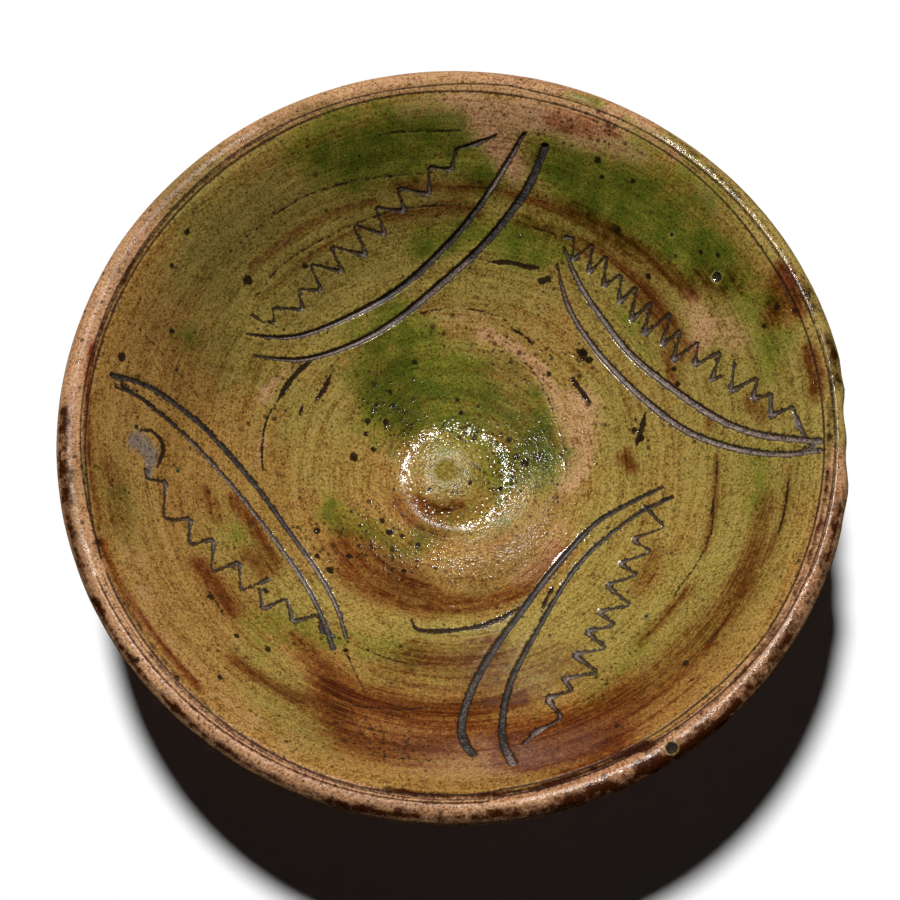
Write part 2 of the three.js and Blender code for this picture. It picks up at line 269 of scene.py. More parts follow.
COPPER_POOLS = [
    ([(315, 150), (370, 135), (425, 128)], 11, 0.95), ([(350, 168), (410, 154), (450, 142)], 9, 0.85),
    ([(458, 118), (460, 150)], 3.5, 0.5), ([(470, 165), (490, 182)], 6, 0.8),
    ([(554, 158), (566, 170), (580, 184)], 8, 1), ([(545, 148), (552, 165), (562, 178)], 5, 0.9),
    ([(602, 168), (640, 188), (690, 208)], 13, 0.85), ([(600, 208), (650, 228), (700, 252)], 12, 0.75),
    ([(628, 178), (648, 196)], 4.5, 0.6), ([(612, 205), (616, 214)], 4, 0.6),
    ([(700, 250), (735, 270), (775, 305)], 10, 0.7), ([(425, 242), (470, 232), (540, 238)], 7, 0.75),
    ([(418, 248), (424, 252)], 3, 0.6), ([(520, 252), (560, 255)], 7, 0.6),
    ([(398, 330), (415, 355)], 12, 0.7), ([(398, 372), (385, 405), (395, 418)], 11, 0.9),
    ([(380, 345), (420, 375), (455, 385)], 13, 0.8), ([(505, 405), (535, 398)], 6, 0.5),
    ([(372, 528), (400, 545), (428, 540)], 6, 0.7), ([(535, 432), (548, 447), (536, 468)], 8.5, 1),
    ([(448, 470)], 8, 0.3), ([(505, 475), (530, 462)], 7, 0.9), ([(515, 452), (545, 462)], 9, 0.7),
    ([(425, 412), (475, 405)], 8, 0.55), ([(455, 432), (485, 442), (495, 470)], 7, 0.5),
    ([(440, 522), (500, 518)], 9, 0.45), ([(333, 512), (350, 528)], 7, 0.65),
    ([(275, 622), (330, 640), (405, 655)], 8, 0.45), ([(235, 600), (262, 640)], 8, 0.4),
    ([(648, 635), (612, 682), (580, 702)], 6, 0.3), ([(757, 462), (757, 505)], 7, 0.45),
    ([(770, 338), (770, 365)], 7, 0.5), ([(735, 600), (712, 625)], 5, 0.25),
    ([(612, 300), (630, 325), (650, 350)], 6, 0.35), ([(572, 94), (587, 98), (600, 103)], 2.3, 0.85),
    ([(622, 116), (690, 160)], 2.2, 0.35), ([(180, 335), (190, 350)], 6, 0.35),
    ([(236, 528), (248, 545)], 5, 0.45), ([(118, 490), (126, 530)], 6, 0.35),
]
IRON_STREAKS = [
    ([(466, 186), (500, 190), (540, 203), (575, 213)], 3.4, 0.75),
    ([(575, 213), (611, 232), (651, 258), (692, 292)], 3.6, 0.8),
    ([(600, 243), (622, 262), (650, 292), (668, 320)], 4.5, 0.55),
    ([(640, 300), (660, 322), (690, 350)], 4.5, 0.45), ([(396, 186), (430, 184), (456, 190)], 3, 0.6),
    ([(387, 216), (420, 212), (450, 208), (480, 212)], 2.6, 0.7),
    ([(520, 222), (560, 236), (585, 250)], 3.6, 0.55),
    ([(253, 267), (304, 227), (345, 209), (373, 201)], 1.8, 0.6),
    ([(260, 300), (320, 250), (370, 225)], 1.6, 0.4), ([(700, 272), (722, 292)], 4, 0.45),
    ([(735, 270), (742, 288)], 3, 0.5), ([(776, 285), (778, 305), (770, 318)], 4.2, 0.85),
    ([(783, 272), (792, 292), (798, 310)], 3.6, 0.95), ([(810, 352), (815, 375), (816, 392)], 3.6, 0.85),
    ([(668, 352), (676, 378)], 3.2, 0.6), ([(625, 458), (632, 468)], 3.4, 0.85),
    ([(712, 415), (710, 425)], 2.6, 0.6), ([(750, 402), (764, 414)], 4.4, 0.5),
    ([(717, 455), (714, 510), (704, 550)], 1.6, 0.7), ([(766, 500), (754, 545), (738, 585)], 4.2, 0.6),
    ([(790, 470), (782, 520), (765, 560)], 2, 0.55), ([(690, 590), (660, 620), (640, 640)], 3, 0.5),
    ([(655, 555), (640, 588)], 4.5, 0.5), ([(745, 585), (705, 635), (660, 678), (620, 702)], 8.5, 0.6),
    ([(620, 705), (580, 722), (540, 735), (515, 742)], 9, 0.9),
    ([(605, 735), (560, 745), (515, 755)], 8, 1), ([(415, 655), (450, 660), (490, 650)], 6, 0.6),
    ([(446, 472)], 8, 0.25), ([(400, 665), (480, 672), (560, 662)], 11, 0.4),
    ([(330, 715), (450, 740), (560, 735), (650, 695)], 24, 0.3),
    ([(530, 768), (580, 764), (620, 750)], 5, 0.6),
    ([(520, 700), (480, 705), (430, 712), (380, 705), (330, 692)], 5.5, 0.95),
    ([(330, 700), (350, 735), (400, 748), (450, 742)], 7.5, 0.9), ([(470, 720), (500, 735)], 6, 0.6),
    ([(235, 660), (265, 680), (300, 700)], 3, 0.85), ([(200, 566), (215, 586), (230, 606)], 5, 0.95),
    ([(205, 492), (216, 516)], 4, 0.5), ([(104, 462), (116, 480), (118, 520)], 6, 0.45),
    ([(236, 500), (262, 540), (275, 562)], 3.2, 0.75), ([(250, 556), (264, 572)], 4, 0.7),
    ([(298, 640), (320, 660), (340, 680)], 5, 0.6), ([(345, 545), (372, 562), (410, 582)], 7, 0.6),
    ([(400, 500), (415, 520), (440, 530)], 5, 0.45), ([(345, 572), (380, 592), (425, 604)], 6, 0.55),
    ([(440, 605), (490, 603), (530, 585), (560, 552)], 5, 0.6),
    ([(500, 545), (540, 530), (560, 500)], 6, 0.25), ([(418, 500), (435, 508), (460, 506)], 2.4, 0.75),
    ([(480, 680), (495, 650)], 5, 0.4), ([(92, 345), (88, 400), (90, 460), (100, 520)], 1.6, 0.6),
    ([(102, 540), (118, 580), (150, 630), (200, 690)], 1.6, 0.75),
    ([(553, 118), (570, 124), (588, 127)], 4, 0.65), ([(606, 132), (616, 134)], 2.4, 0.6),
]
PINK_THIN = [
    ([(465, 110), (500, 112), (550, 118), (610, 136)], 6.5, 1),
    ([(405, 112), (440, 104), (465, 108)], 4.5, 0.8), ([(480, 128), (500, 145), (512, 165)], 6, 1),
    ([(565, 138), (600, 146), (640, 158)], 4, 0.75), ([(694, 305), (712, 322), (735, 340)], 7.5, 0.5),
    ([(696, 345), (700, 330)], 4, 0.6), ([(700, 190), (722, 222)], 5, 0.45),
    ([(484, 335), (520, 350), (545, 380), (557, 410), (566, 440), (568, 480)], 3.4, 0.7),
    ([(262, 400), (270, 385), (285, 372)], 3, 0.6), ([(262, 440), (258, 460)], 3, 0.5),
    ([(515, 580), (545, 560), (565, 530)], 6, 0.5), ([(570, 480), (586, 445), (580, 400)], 6.5, 0.7),
    ([(566, 432), (568, 470)], 3.5, 0.8), ([(430, 318), (480, 318)], 5, 0.35),
    ([(260, 262), (300, 232), (340, 214)], 1.6, 0.4), ([(420, 480), (431, 492)], 3, 0.5),
    ([(130, 560), (150, 620), (220, 700), (300, 750)], 9, 0.3),
    ([(100, 300), (140, 230), (200, 170)], 3, 0.45),
]
OLIVE_SLIP = [
    ([(250, 240), (420, 190), (560, 210), (680, 300), (770, 400)], 30, 0.85),
    ([(775, 440), (740, 540), (685, 612), (600, 655), (500, 655), (420, 650)], 22, 0.75),
    ([(250, 330), (330, 300), (420, 260), (500, 260)], 18, 0.7), ([(300, 600), (230, 545)], 16, 0.45),
    ([(260, 660), (310, 730)], 14, 0.5), ([(330, 420), (420, 400), (520, 430)], 30, 0.5),
    ([(447, 472)], 8, 1.2), ([(600, 420), (640, 470), (600, 600)], 22, 0.5),
    ([(100, 470), (120, 520)], 12, 0.4),
    ([(672, 136), (711, 171), (783, 246), (814, 302), (834, 362), (838, 426)], 5.5, 0.75),
]
SMOKY_GLAZE = [
    ([(190, 330), (220, 270), (290, 215), (380, 170)], 24, 0.75),
    ([(330, 103), (235, 140), (160, 205), (115, 270)], 3.5, 0.6),
    ([(66, 400), (66, 470), (110, 640), (220, 745), (330, 798), (450, 815)], 3.5, 0.55),
    ([(300, 290), (390, 240), (450, 200)], 16, 0.6), ([(520, 150), (600, 200), (700, 260)], 20, 0.35),
    ([(205, 360), (190, 400)], 16, 0.5), ([(380, 390), (400, 420)], 12, 0.5),
    ([(500, 400), (540, 450)], 14, 0.8), ([(385, 370), (400, 430)], 10, 0.7),
    ([(360, 540), (410, 575)], 14, 0.45), ([(400, 580), (470, 588), (525, 565)], 12, 0.6),
]

# More patches: where fine specks of iron lie thickly, and the stains, worn and wet stretches of the lip

SPECK_CLUSTERS = [
    ([(581, 350), (590, 362)], 3.6, 1), ([(573, 378), (590, 402)], 2.4, 1),
    ([(634, 430), (644, 440)], 3.4, 0.9), ([(537, 345), (548, 353)], 2.4, 0.8),
    ([(331, 372), (316, 404)], 2.6, 0.9), ([(290, 380), (263, 430)], 2.6, 0.8),
    ([(375, 405), (400, 425)], 7, 0.8), ([(505, 455), (545, 463)], 6, 0.9),
    ([(455, 428), (495, 445), (502, 485)], 4.5, 0.9), ([(308, 530), (322, 556)], 4, 0.9),
    ([(350, 540), (410, 560)], 9, 0.5), ([(375, 515), (395, 540)], 4, 0.7),
    ([(360, 740), (420, 745)], 8, 0.8), ([(500, 475), (540, 500)], 9, 0.4),
    ([(630, 660), (600, 690)], 6, 0.4), ([(565, 118), (600, 128)], 4.5, 1),
    ([(430, 330), (540, 360)], 7, 0.4), ([(104, 470), (118, 490)], 4, 0.7),
    ([(205, 490), (216, 510)], 3.5, 0.8),
]
BROWN_LIP = [
    ([(60, 427), (63, 492), (78, 557), (104, 618), (142, 674), (191, 724)], 1.7, 0.75),
    ([(191, 724), (248, 764), (313, 794), (382, 813), (454, 819)], 1.7, 0.75),
    ([(454, 819), (526, 813), (560, 806)], 2.2, 0.7),
    ([(560, 806), (595, 794), (659, 764), (717, 724)], 3.4, 1),
    ([(716, 722), (763, 672), (801, 616), (828, 556), (841, 494)], 3.2, 0.72),
    ([(829, 338), (835, 360), (838, 380)], 2.4, 0.8), ([(799, 279), (806, 292), (810, 305)], 2.8, 0.75),
    ([(669, 134), (695, 153), (719, 175), (741, 199)], 1.3, 0.6),
    ([(340, 806), (400, 812), (454, 814)], 2.2, 0.4),
]
RIM_STAINS = [
    ([(300, 122), (223, 167), (177, 207), (139, 255), (110, 308), (91, 366)], 1.1, 0.45),
    ([(92, 366), (84, 427), (86, 488), (99, 549)], 0.7, 0.4),
    ([(97, 520), (103, 560), (125, 606), (161, 659), (206, 706)], 1.3, 0.5),
    ([(206, 706), (260, 746), (321, 775), (386, 793)], 1.1, 0.35), ([(98, 545), (101, 556)], 1.8, 0.8),
    ([(832, 370), (830, 426), (827, 488), (812, 550), (787, 608), (751, 661), (705, 709), (650, 747)],
      1.3, 0.6),
    ([(650, 744), (588, 771), (524, 790), (454, 796), (386, 789)], 1.5, 1),
    ([(95, 300), (73, 362)], 3, 0.2), ([(64, 415), (66, 500)], 3, 0.6),
]
WET_LIP = [
    ([(66, 408), (65, 427), (66, 452)], 1.8, 0.2), ([(576, 95), (590, 98)], 1.6, 0.8),
    ([(665, 139), (692, 157), (739, 198), (779, 248), (810, 303), (830, 363), (838, 426), (835, 490),
      (821, 554), (795, 613), (758, 668), (711, 717), (654, 756), (591, 785)], 1.2, 1),
    ([(591, 785), (524, 803)], 1.2, 0.6), ([(100, 275), (140, 215), (190, 165)], 1.6, 0.3),
    ([(80, 540), (105, 600), (140, 655), (190, 706)], 1.6, 0.35),
]
SLATE_FLOORS = [
    ([(400, 295), (440, 255), (478, 215)], 7, 1),
    ([(545, 147), (530, 184), (507, 218), (478, 250)], 4, 1),
    ([(660, 488), (600, 525), (545, 590), (505, 660), (480, 750)], 10, 0.95),
    ([(320, 605), (335, 645)], 6, 0.6), ([(112, 375), (172, 401), (230, 455), (300, 545)], 4, 1),
    ([(116, 387), (178, 428)], 4, 0.8), ([(490, 263), (535, 265)], 3, 1),
]
SCAR = [
    ([(136, 441), (145, 446), (150, 455)], 3.9, 1), ([(150, 462), (149, 478)], 1.3, 0.8),
]
SCAR_RIDGES = [
    ([(136, 425), (141, 431), (150, 430), (156, 434), (162, 442), (163, 452), (160, 462), (157, 468)],
      0.75),
    ([(129, 417), (134, 412), (140, 413)], 0.35), ([(126, 432), (124, 442), (129, 452)], 0.2),
]
DRY_PATCHES = [
    ([(446, 470)], 9.5, 1), ([(148, 450)], 4, 1), ([(565, 118), (600, 128)], 5, 0.8),
    ([(490, 545), (525, 520), (545, 490)], 8.5, 0.8),
    ([(403, 490), (411, 513), (430, 528), (458, 533)], 3, 0.85),
    ([(450, 715), (545, 720), (640, 680)], 17, 0.9), ([(300, 135), (453, 110), (600, 135)], 12, 0.5),
]
BUBBLES = [
    ([(405, 455), (430, 435), (465, 432), (495, 452), (502, 485), (480, 515)], 4.5, 1),
    ([(455, 515), (420, 500), (405, 478)], 3, 0.5),
]

# The patches that the glaze's material reads, by the name of the attribute that holds each

PAINTED = {
    "copper": COPPER_POOLS, "iron": IRON_STREAKS, "thin": PINK_THIN, "olive": OLIVE_SLIP,
    "smoke": SMOKY_GLAZE, "specks": SPECK_CLUSTERS, "slate": SLATE_FLOORS, "scar": SCAR,
    "dry": DRY_PATCHES, "bubbly": BUBBLES, "wet": WET_LIP,
}

# Bands round the lip, in millimetres: the radii where each starts and ends, and the width of its fade

LIP_BANDS = {
    "lip": (115.6, math.inf, 1.6),
    "turned": (115.2, 119.6, 0.8),
    "outer": (121.3, math.inf, 1.8),
}

# All the attributes that the glaze's material reads

GLAZE_ATTRIBUTES = ["gouge", "zigzag", "mark", "spot", "pit", "groove", "lip_iron", *LIP_BANDS, *PAINTED]

# Cuts, in millimetres: the depth of each, how far beyond its edge it begins, and how wide its slope is

GOUGE_DEPTH = 0.85
ZIGZAG_DEPTH = 0.5
RIM_LINE_DEPTH = 0.14
LINE_DEPTH = 0.2
CUT_SIDES = {"gouge": (0.1, 0.7), "zigzag": (0.1, 0.5), "groove": (0.15, 0.4), "mark": (0.15, 0.5)}
DEEPEST_CUT = 1.4

# A pit's edge as a share of its radius, and how steep its side is

PIT_EDGE = 1.25
PIT_STEEPNESS = 1.3

# Burrs, in millimetres: height, how far beyond the edge their crest lies, and half their width

BURRS = {"gouge": (0.15, 0.45, 0.5), "pit": (0.2, 0.4, 0.4)}
HIGHEST_BURR = 0.3

# How a gouged arc's width swells and dies along its length, how a fine line's does, and how a zigzag's
# does: where the tool lingers, where it passes and halfway between the turns

GOUGE_STOPS = [0, 0.12, 0.5, 0.88, 1]
GOUGE_POINTS = 60
LINE_SWELL = [0.4, 0.9, 1.1, 0.8, 1.0, 1.1, 0.9, 0.4]
LINGERING_SWELL = 1.55
PASSING_SWELL = 0.85
WAIST = 0.64
TURN_ROUNDING = 0.1

# The uneven hand-thrown surface and the pooled glaze: size of the lumps and height in millimetres, the
# middle that they swing about, and the levels that a weight is rounded to

THROWN_LUMPS = 38
POOLED_LUMPS = 5
POOLED_HEIGHT = 0.14
LUMPS_MIDDLE = 0.6
WEIGHT_LEVELS = 100

# Marks of turning on the outside, in millimetres: the radii they lie between and their two spacings,
# and the share of the broad ones

TURNED_FROM = 49
TURNED_TO = 113
BROAD_TURNING = 11
FINE_TURNING = 3.1
BROAD_SHARE = 0.75

# Places where the rim is chipped or nicked: bearing in degrees, reach and depth in millimetres

RIM_KNOCKS = [(-4, 13, 2.2), (2, 12, 3.0), (8, 8, 1.9), (-13, 8, 0.6), (143, 5, 0.6), (171, 4, 0.3)]
KNOCK_RADIUS = 128
KNOCK_HEIGHT = 64

# Edges of the bare clay that are sharper than this stay sharp

SMOOTH_ANGLE = math.radians(40)


def linear(text):
    """An sRGB colour such as #a37b41 as the linear colour, with alpha, that a shader socket takes."""
    shares = [int(text[i : i + 2], 16) / 255 for i in (1, 3, 5)]
    return (*[s / 12.92 if s <= 0.04045 else ((s + 0.055) / 1.055) ** 2.4 for s in shares], 1.0)


def add_node(tree, kind, inputs, output=0, **settings):
    """Adds a node, sets its settings, sets or links its inputs, and gives back one of its outputs."""
    node = tree.nodes.new(kind)
    for key, value in settings.items():
        setattr(node, key, value)
    for key, value in inputs.items():
        if isinstance(value, bpy.types.NodeSocket):
            tree.links.new(value, node.inputs[key])
        else:
            node.inputs[key].default_value = value
    return node.outputs[output] if node.outputs else None


def new_material(name):
    """A material that starts with an empty node tree."""
    material = bpy.data.materials.new(name)
    material.use_nodes = True
    material.node_tree.nodes.clear()
    return material


def pick(piece):
    """Leaves one object selected and active."""
    bpy.ops.object.select_all(action="DESELECT")
    piece.select_set(True)
    bpy.context.view_layer.objects.active = piece


def smooth_line(points, spacing):
    """Evenly spaced points on a smooth curve through the given ones."""
    points = np.array(points, float)
    padded = np.vstack([2 * points[0] - points[1], points, 2 * points[-1] - points[-2]])
    t = np.linspace(0, 1, 40, endpoint=False)[:, None]
    parts = []
    for p0, p1, p2, p3 in zip(padded[:-3], padded[1:-2], padded[2:-1], padded[3:]):
        parts.append(0.5 * (2 * p1 + (p2 - p0) * t + (2 * p0 - 5 * p1 + 4 * p2 - p3) * t**2
                            + (3 * p1 - p0 - 3 * p2 + p3) * t**3))
    fine = np.vstack([*parts, points[-1:]])
    travel = np.concatenate([[0], np.cumsum(np.linalg.norm(np.diff(fine, axis=0), axis=1))])
    stops = np.linspace(0, travel[-1], max(2, int(round(travel[-1] / spacing)) + 1))
    return np.column_stack([np.interp(stops, travel, fine[:, k]) for k in range(fine.shape[1])])


def inset(section, distance):
    """The section moved towards its right-hand side, which is the clay's side."""
    section = np.array(section, float)
    ahead = np.gradient(section, axis=0)
    ahead /= np.linalg.norm(ahead, axis=1)[:, None]
    return section + distance * np.column_stack([ahead[:, 1], -ahead[:, 0]])


def drawn_outline(name, section, closed=False):
    """Draws a section of radius and height as a curve in the XZ plane and makes it a mesh."""
    curve = bpy.data.curves.new(name, "CURVE")
    curve.dimensions = "3D"
    spline = curve.splines.new("POLY")
    spline.points.add(len(section) - 1)
    for point, (radius, height) in zip(spline.points, section):
        point.co = (radius * MM, 0, height * MM, 1)
    spline.use_cyclic_u = closed
    piece = bpy.data.objects.new(name, curve)
    bpy.context.scene.collection.objects.link(piece)
    pick(piece)
    bpy.ops.object.convert(target="MESH")
    return bpy.context.view_layer.objects.active


def throw_on_wheel(piece, steps):
    """Spins an outline about the bowl's axis into a closed body with its faces outwards."""
    pick(piece)
    bpy.ops.object.mode_set(mode="EDIT")
    bpy.ops.mesh.select_all(action="SELECT")
    bpy.ops.mesh.spin(steps=steps, angle=2 * math.pi, center=(0, 0, 0), axis=(0, 0, 1))
    bpy.ops.mesh.select_all(action="SELECT")
    bpy.ops.mesh.remove_doubles(threshold=MERGE_DISTANCE * MM)
    bpy.ops.mesh.normals_make_consistent(inside=False)
    bpy.ops.object.mode_set(mode="OBJECT")


def mesh_values(items, name, size=3):
    """One property of a mesh's vertices or faces as an array, with a row of numbers for each."""
    flat = np.zeros(len(items) * size)
    items.foreach_get(name, flat)
    return flat.reshape(-1, size)


def radius_of(points):
    """Each point's distance from the bowl's axis, in millimetres."""
    return np.hypot(points[:, 0], points[:, 1]) / MM


def displace(piece, height, weights=None, texture=None, middle=0.0):
    """Moves the surface out along its normals by height times a weight or a cloud texture."""
    modifier = piece.modifiers.new("relief", "DISPLACE")
    modifier.strength = height * MM
    modifier.mid_level = middle
    if texture is not None:
        modifier.texture = texture
        modifier.texture_coords = "LOCAL"
    if weights is not None:
        group = piece.vertex_groups.new(name="relief")
        levels = np.round(np.clip(weights, 0, 1) * WEIGHT_LEVELS).astype(int)
        for level in range(1, WEIGHT_LEVELS + 1):
            members = np.flatnonzero(levels == level).tolist()
            if members:
                group.add(members, level / WEIGHT_LEVELS, "REPLACE")
        modifier.vertex_group = "relief"
    pick(piece)
    bpy.ops.object.modifier_apply(modifier="relief")
    if weights is not None:
        piece.vertex_groups.remove(piece.vertex_groups["relief"])


def clouds(name, size):
    """A cloud texture with lumps of about this size in millimetres."""
    texture = bpy.data.textures.new(name, "CLOUDS")
    texture.noise_scale = size * MM
    texture.noise_depth = 2
    return texture


def store(piece, name, values):
    """Keeps one number for each vertex, for the materials to read."""
    attribute = piece.data.attributes.new(name, "FLOAT", "POINT")
    attribute.data.foreach_set("value", np.asarray(values, np.float32))


def cast_onto(piece, pixels):
    """The places on the piece that the camera sees at these pixels of the photograph."""
    camera = bpy.context.scene.camera
    turn = camera.matrix_world.to_3x3()
    pixel = camera.data.sensor_width / PHOTO_SIZE
    places = []
    for x, y in pixels:
        right, up = (x - PHOTO_SIZE / 2) * pixel, (PHOTO_SIZE / 2 - y) * pixel
        sight = turn @ Vector((right, up, -camera.data.lens))
        found, place, _, _ = piece.ray_cast(camera.location, sight.normalized())
        if found:
            places.append(place)
    if not places:
        raise RuntimeError(f"no pixel of {pixels[0]} and on meets {piece.name}")
    return np.array(places)


def reach_from(all_points, line, reach):
    """Each point's distance from a line in millimetres, and how far along the line it is nearest.
    Points that lie further off than the reach keep a great distance."""
    all_distance = np.full(len(all_points), FAR_OFF)
    all_along = np.zeros(len(all_points))
    low, high = line.min(axis=0) - reach * MM, line.max(axis=0) + reach * MM
    close = np.flatnonzero(np.all((all_points > low) & (all_points < high), axis=1))
    points = all_points[close]
    if len(line) == 1:
        all_distance[close] = np.linalg.norm(points - line[0], axis=1) / MM
        return all_distance, all_along
    distance, along = np.full(len(points), FAR_OFF), np.zeros(len(points))
    lengths = np.linalg.norm(np.diff(line, axis=0), axis=1)
    starts = np.concatenate([[0], np.cumsum(lengths)])
    for a, b, start, length in zip(line[:-1], line[1:], starts, lengths):
        way = b - a
        share = np.clip((points - a) @ way / max(way @ way, 1e-12), 0, 1)
        gap = np.linalg.norm(points - a - share[:, None] * way, axis=1) / MM
        closer = gap < distance
        distance[closer] = gap[closer]
        along[closer] = (start + share[closer] * length) / starts[-1]
    all_distance[close], all_along[close] = distance, along
    return all_distance, all_along


def beyond_stroke(points, line, halves):
    """Distance in millimetres beyond the edge of a stroke, below zero inside it. The stroke has a half
    width at each of its points."""
    distance, along = reach_from(points, line, STROKE_REACH)
    lengths = np.linalg.norm(np.diff(line, axis=0), axis=1)
    stops = np.concatenate([[0], np.cumsum(lengths)]) / max(lengths.sum(), 1e-9)
    return distance - np.interp(along, stops, halves)


def ease(share):
    """Turns a share into one that starts and stops softly."""
    share = np.clip(share, 0, 1)
    return share * share * (3 - 2 * share)


def wash(piece, points, patches):
    """How strongly a set of patches covers each point, each fading out softly from its middle."""
    bare = np.ones(len(points))
    for pixels, half_width, strength in patches:
        line = cast_onto(piece, smooth_line(pixels, PATCH_STEP) if len(pixels) > 1 else pixels)
        distance, _ = reach_from(points, line, WASH_REACH * half_width)
        bare *= 1 - strength * np.exp(-WASH_FADE * (distance / half_width) ** 2)
    return 1 - bare


# What the settings' lengths, angles and colours have in common

LENGTH = {"subtype": "DISTANCE", "unit": "LENGTH"}
ANGLE = {"subtype": "ANGLE", "unit": "ROTATION"}
COLOUR = {"subtype": "COLOR", "size": 3}


class BowlGlaze(bpy.types.PropertyGroup):
    """Sizes and colours of the slip and glaze."""

    gouge_depth: FloatProperty(
        name="Gouge depth", description="Depth of the cut arcs", default=GOUGE_DEPTH * MM, min=0, **LENGTH)
    unevenness: FloatProperty(
        name="Unevenness", description="How far the hand-thrown surface wanders", default=0.35 * MM,
        min=0, **LENGTH)
    ochre: FloatVectorProperty(
        name="Ochre", description="Glaze over thin slip", default=linear("#a87e40")[:3], **COLOUR)
    olive: FloatVectorProperty(
        name="Olive", description="Glaze over thick slip", default=linear("#9b8641")[:3], **COLOUR)
    pink: FloatVectorProperty(
        name="Pink", description="Clay showing through thin slip", default=linear("#c99a70")[:3], **COLOUR)
    copper: FloatVectorProperty(
        name="Copper", description="What a full copper stain lets through",
        default=linear("#d0e8b4")[:3], **COLOUR)
    iron: FloatVectorProperty(
        name="Iron", description="What a full iron stain lets through", default=linear("#cca69a")[:3],
        **COLOUR)


class BowlClay(bpy.types.PropertyGroup):
    """Sizes and colours of the clay body and its foot."""

    turning: FloatProperty(
        name="Turning marks", description="Height of the marks left by turning", default=0.25 * MM,
        min=0, **LENGTH)
    clay: FloatVectorProperty(
        name="Clay", description="Fired clay", default=linear("#a8694a")[:3], **COLOUR)


class BowlStage(bpy.types.PropertyGroup):
    """The camera, lamps and floor."""

    lens: FloatProperty(name="Lens", description="Focal length in millimetres", default=100, min=20)
    elevation: FloatProperty(
        name="Elevation", description="The camera's angle above the table",
        default=math.radians(71.83), **ANGLE)
    distance: FloatProperty(
        name="Distance", description="From the camera to the rim's plane", default=779.5 * MM, **LENGTH)
    aim: FloatVectorProperty(
        name="Aim", description="Where the middle of the picture meets the rim's plane",
        default=(-1.13 * MM, -8.27 * MM, CAD_HIGH.z), size=3, subtype="TRANSLATION", unit="LENGTH")
    key_level: FloatProperty(
        name="Key level", description="Share of white that the key lamp gives a surface facing it",
        default=1.1, min=0)
    lamp_width: FloatProperty(
        name="Lamp width", description="Width of the distant key lamp, as the bowl sees it",
        default=math.radians(7), **ANGLE)
    floor: FloatVectorProperty(
        name="Floor", description="Pale floor", default=linear("#fefefe")[:3], **COLOUR)


# The stage: the way to the key lamp, and lengths in metres

KEY_DIRECTION = (-0.116, 0.428, 1.0)
LAMP_HEIGHT = 3.0
FLOOR_WIDTH = 24.0


class BOWL_OT_add_stage(bpy.types.Operator):
    """Add the pale floor, the key lamp, the surroundings and the photograph's camera"""

    bl_idname = "bowl.add_stage"
    bl_label = "Add the stage"

    def execute(self, context):
        stage = context.scene.bowl_stage
        context.scene.view_settings.view_transform = "Standard"
        add_camera(stage)
        add_key_lamp(stage)
        add_surroundings()
        add_floor(stage)
        return {"FINISHED"}


def add_camera(stage):
    """The photograph's camera, which looks along +Y and down at the bowl."""
    sight = Vector((0, math.cos(stage.elevation), -math.sin(stage.elevation)))
    place = Vector(stage.aim) - sight * stage.distance
    bpy.ops.object.camera_add(location=place, rotation=(math.pi / 2 - stage.elevation, 0, 0))
    camera = bpy.context.object
    camera.name = "photo_camera"
    camera.data.lens = stage.lens
    camera.data.sensor_width = SENSOR_WIDTH
    bpy.context.scene.camera = camera
    bpy.context.view_layer.update()


def add_key_lamp(stage):
    """One distant, soft lamp above and behind the bowl, which throws the shadow towards the camera."""
    towards = Vector(KEY_DIRECTION).normalized()
    bpy.ops.object.light_add(type="SUN", location=towards * LAMP_HEIGHT)
    lamp = bpy.context.object
    lamp.name = "key_lamp"
    lamp.rotation_euler = towards.to_track_quat("Z", "Y").to_euler()
    lamp.data.angle = stage.lamp_width
    lamp.data.energy = stage.key_level * math.pi


def shown_white(tree, gloss=1.0):
    """One for what the camera sees straight, and a share of it for what it sees in gloss or glass."""
    rays = add_node(tree, "ShaderNodeLightPath", {}).node.outputs
    glossy = add_node(tree, MATH, {0: rays["Is Glossy Ray"], 1: rays["Is Transmission Ray"]},
                      operation="MAXIMUM")
    glossy = add_node(tree, MATH, {0: glossy, 1: gloss}, operation="MULTIPLY")
    return add_node(tree, MATH, {0: glossy, 1: rays["Is Camera Ray"]}, operation="MAXIMUM")


def add_surroundings():
    """A dim studio round a white table, a little lighter on the right. Gloss shows the horizon white."""
    world = bpy.data.worlds.new("dim_studio")
    bpy.context.scene.world = world
    world.use_nodes = True
    tree = world.node_tree
    tree.nodes.clear()
    way = add_node(tree, COORDINATES, {}, "Generated")
    way = add_node(tree, "ShaderNodeSeparateXYZ", {0: way}).node.outputs
    ceiling = add_node(tree, RANGE, {0: way["Z"], 1: 0.1, 2: 0.5, 3: 0.0, 4: 1.0})
    side = add_node(tree, RANGE, {0: way["X"], 1: -0.6, 2: 0.8})
    tint = add_node(tree, MIX, {0: side, 6: linear("#0e0e0e"), 7: linear("#484848")}, **TONES)
    tint = add_node(tree, MIX, {0: ceiling, 6: tint, 7: linear("#0f0f0f")}, **TONES)
    low = add_node(tree, RANGE, {0: way["Z"], 1: 0.0, 2: 0.02, 3: 1.0, 4: 0.0})
    tint = add_node(tree, MIX, {0: shown_white(tree, low), 6: tint, 7: linear("#ffffff")}, **TONES)
    light = add_node(tree, "ShaderNodeBackground", {"Color": tint, "Strength": 1.0})
    add_node(tree, "ShaderNodeOutputWorld", {"Surface": light})


def add_floor(stage):
    """A wide pale floor under the foot."""
    bpy.ops.mesh.primitive_plane_add(size=FLOOR_WIDTH, location=(0, 0, CAD_LOW.z))
    floor = bpy.context.object
    floor.name = "floor"
    floor.data.materials.append(matt_floor_material(stage))


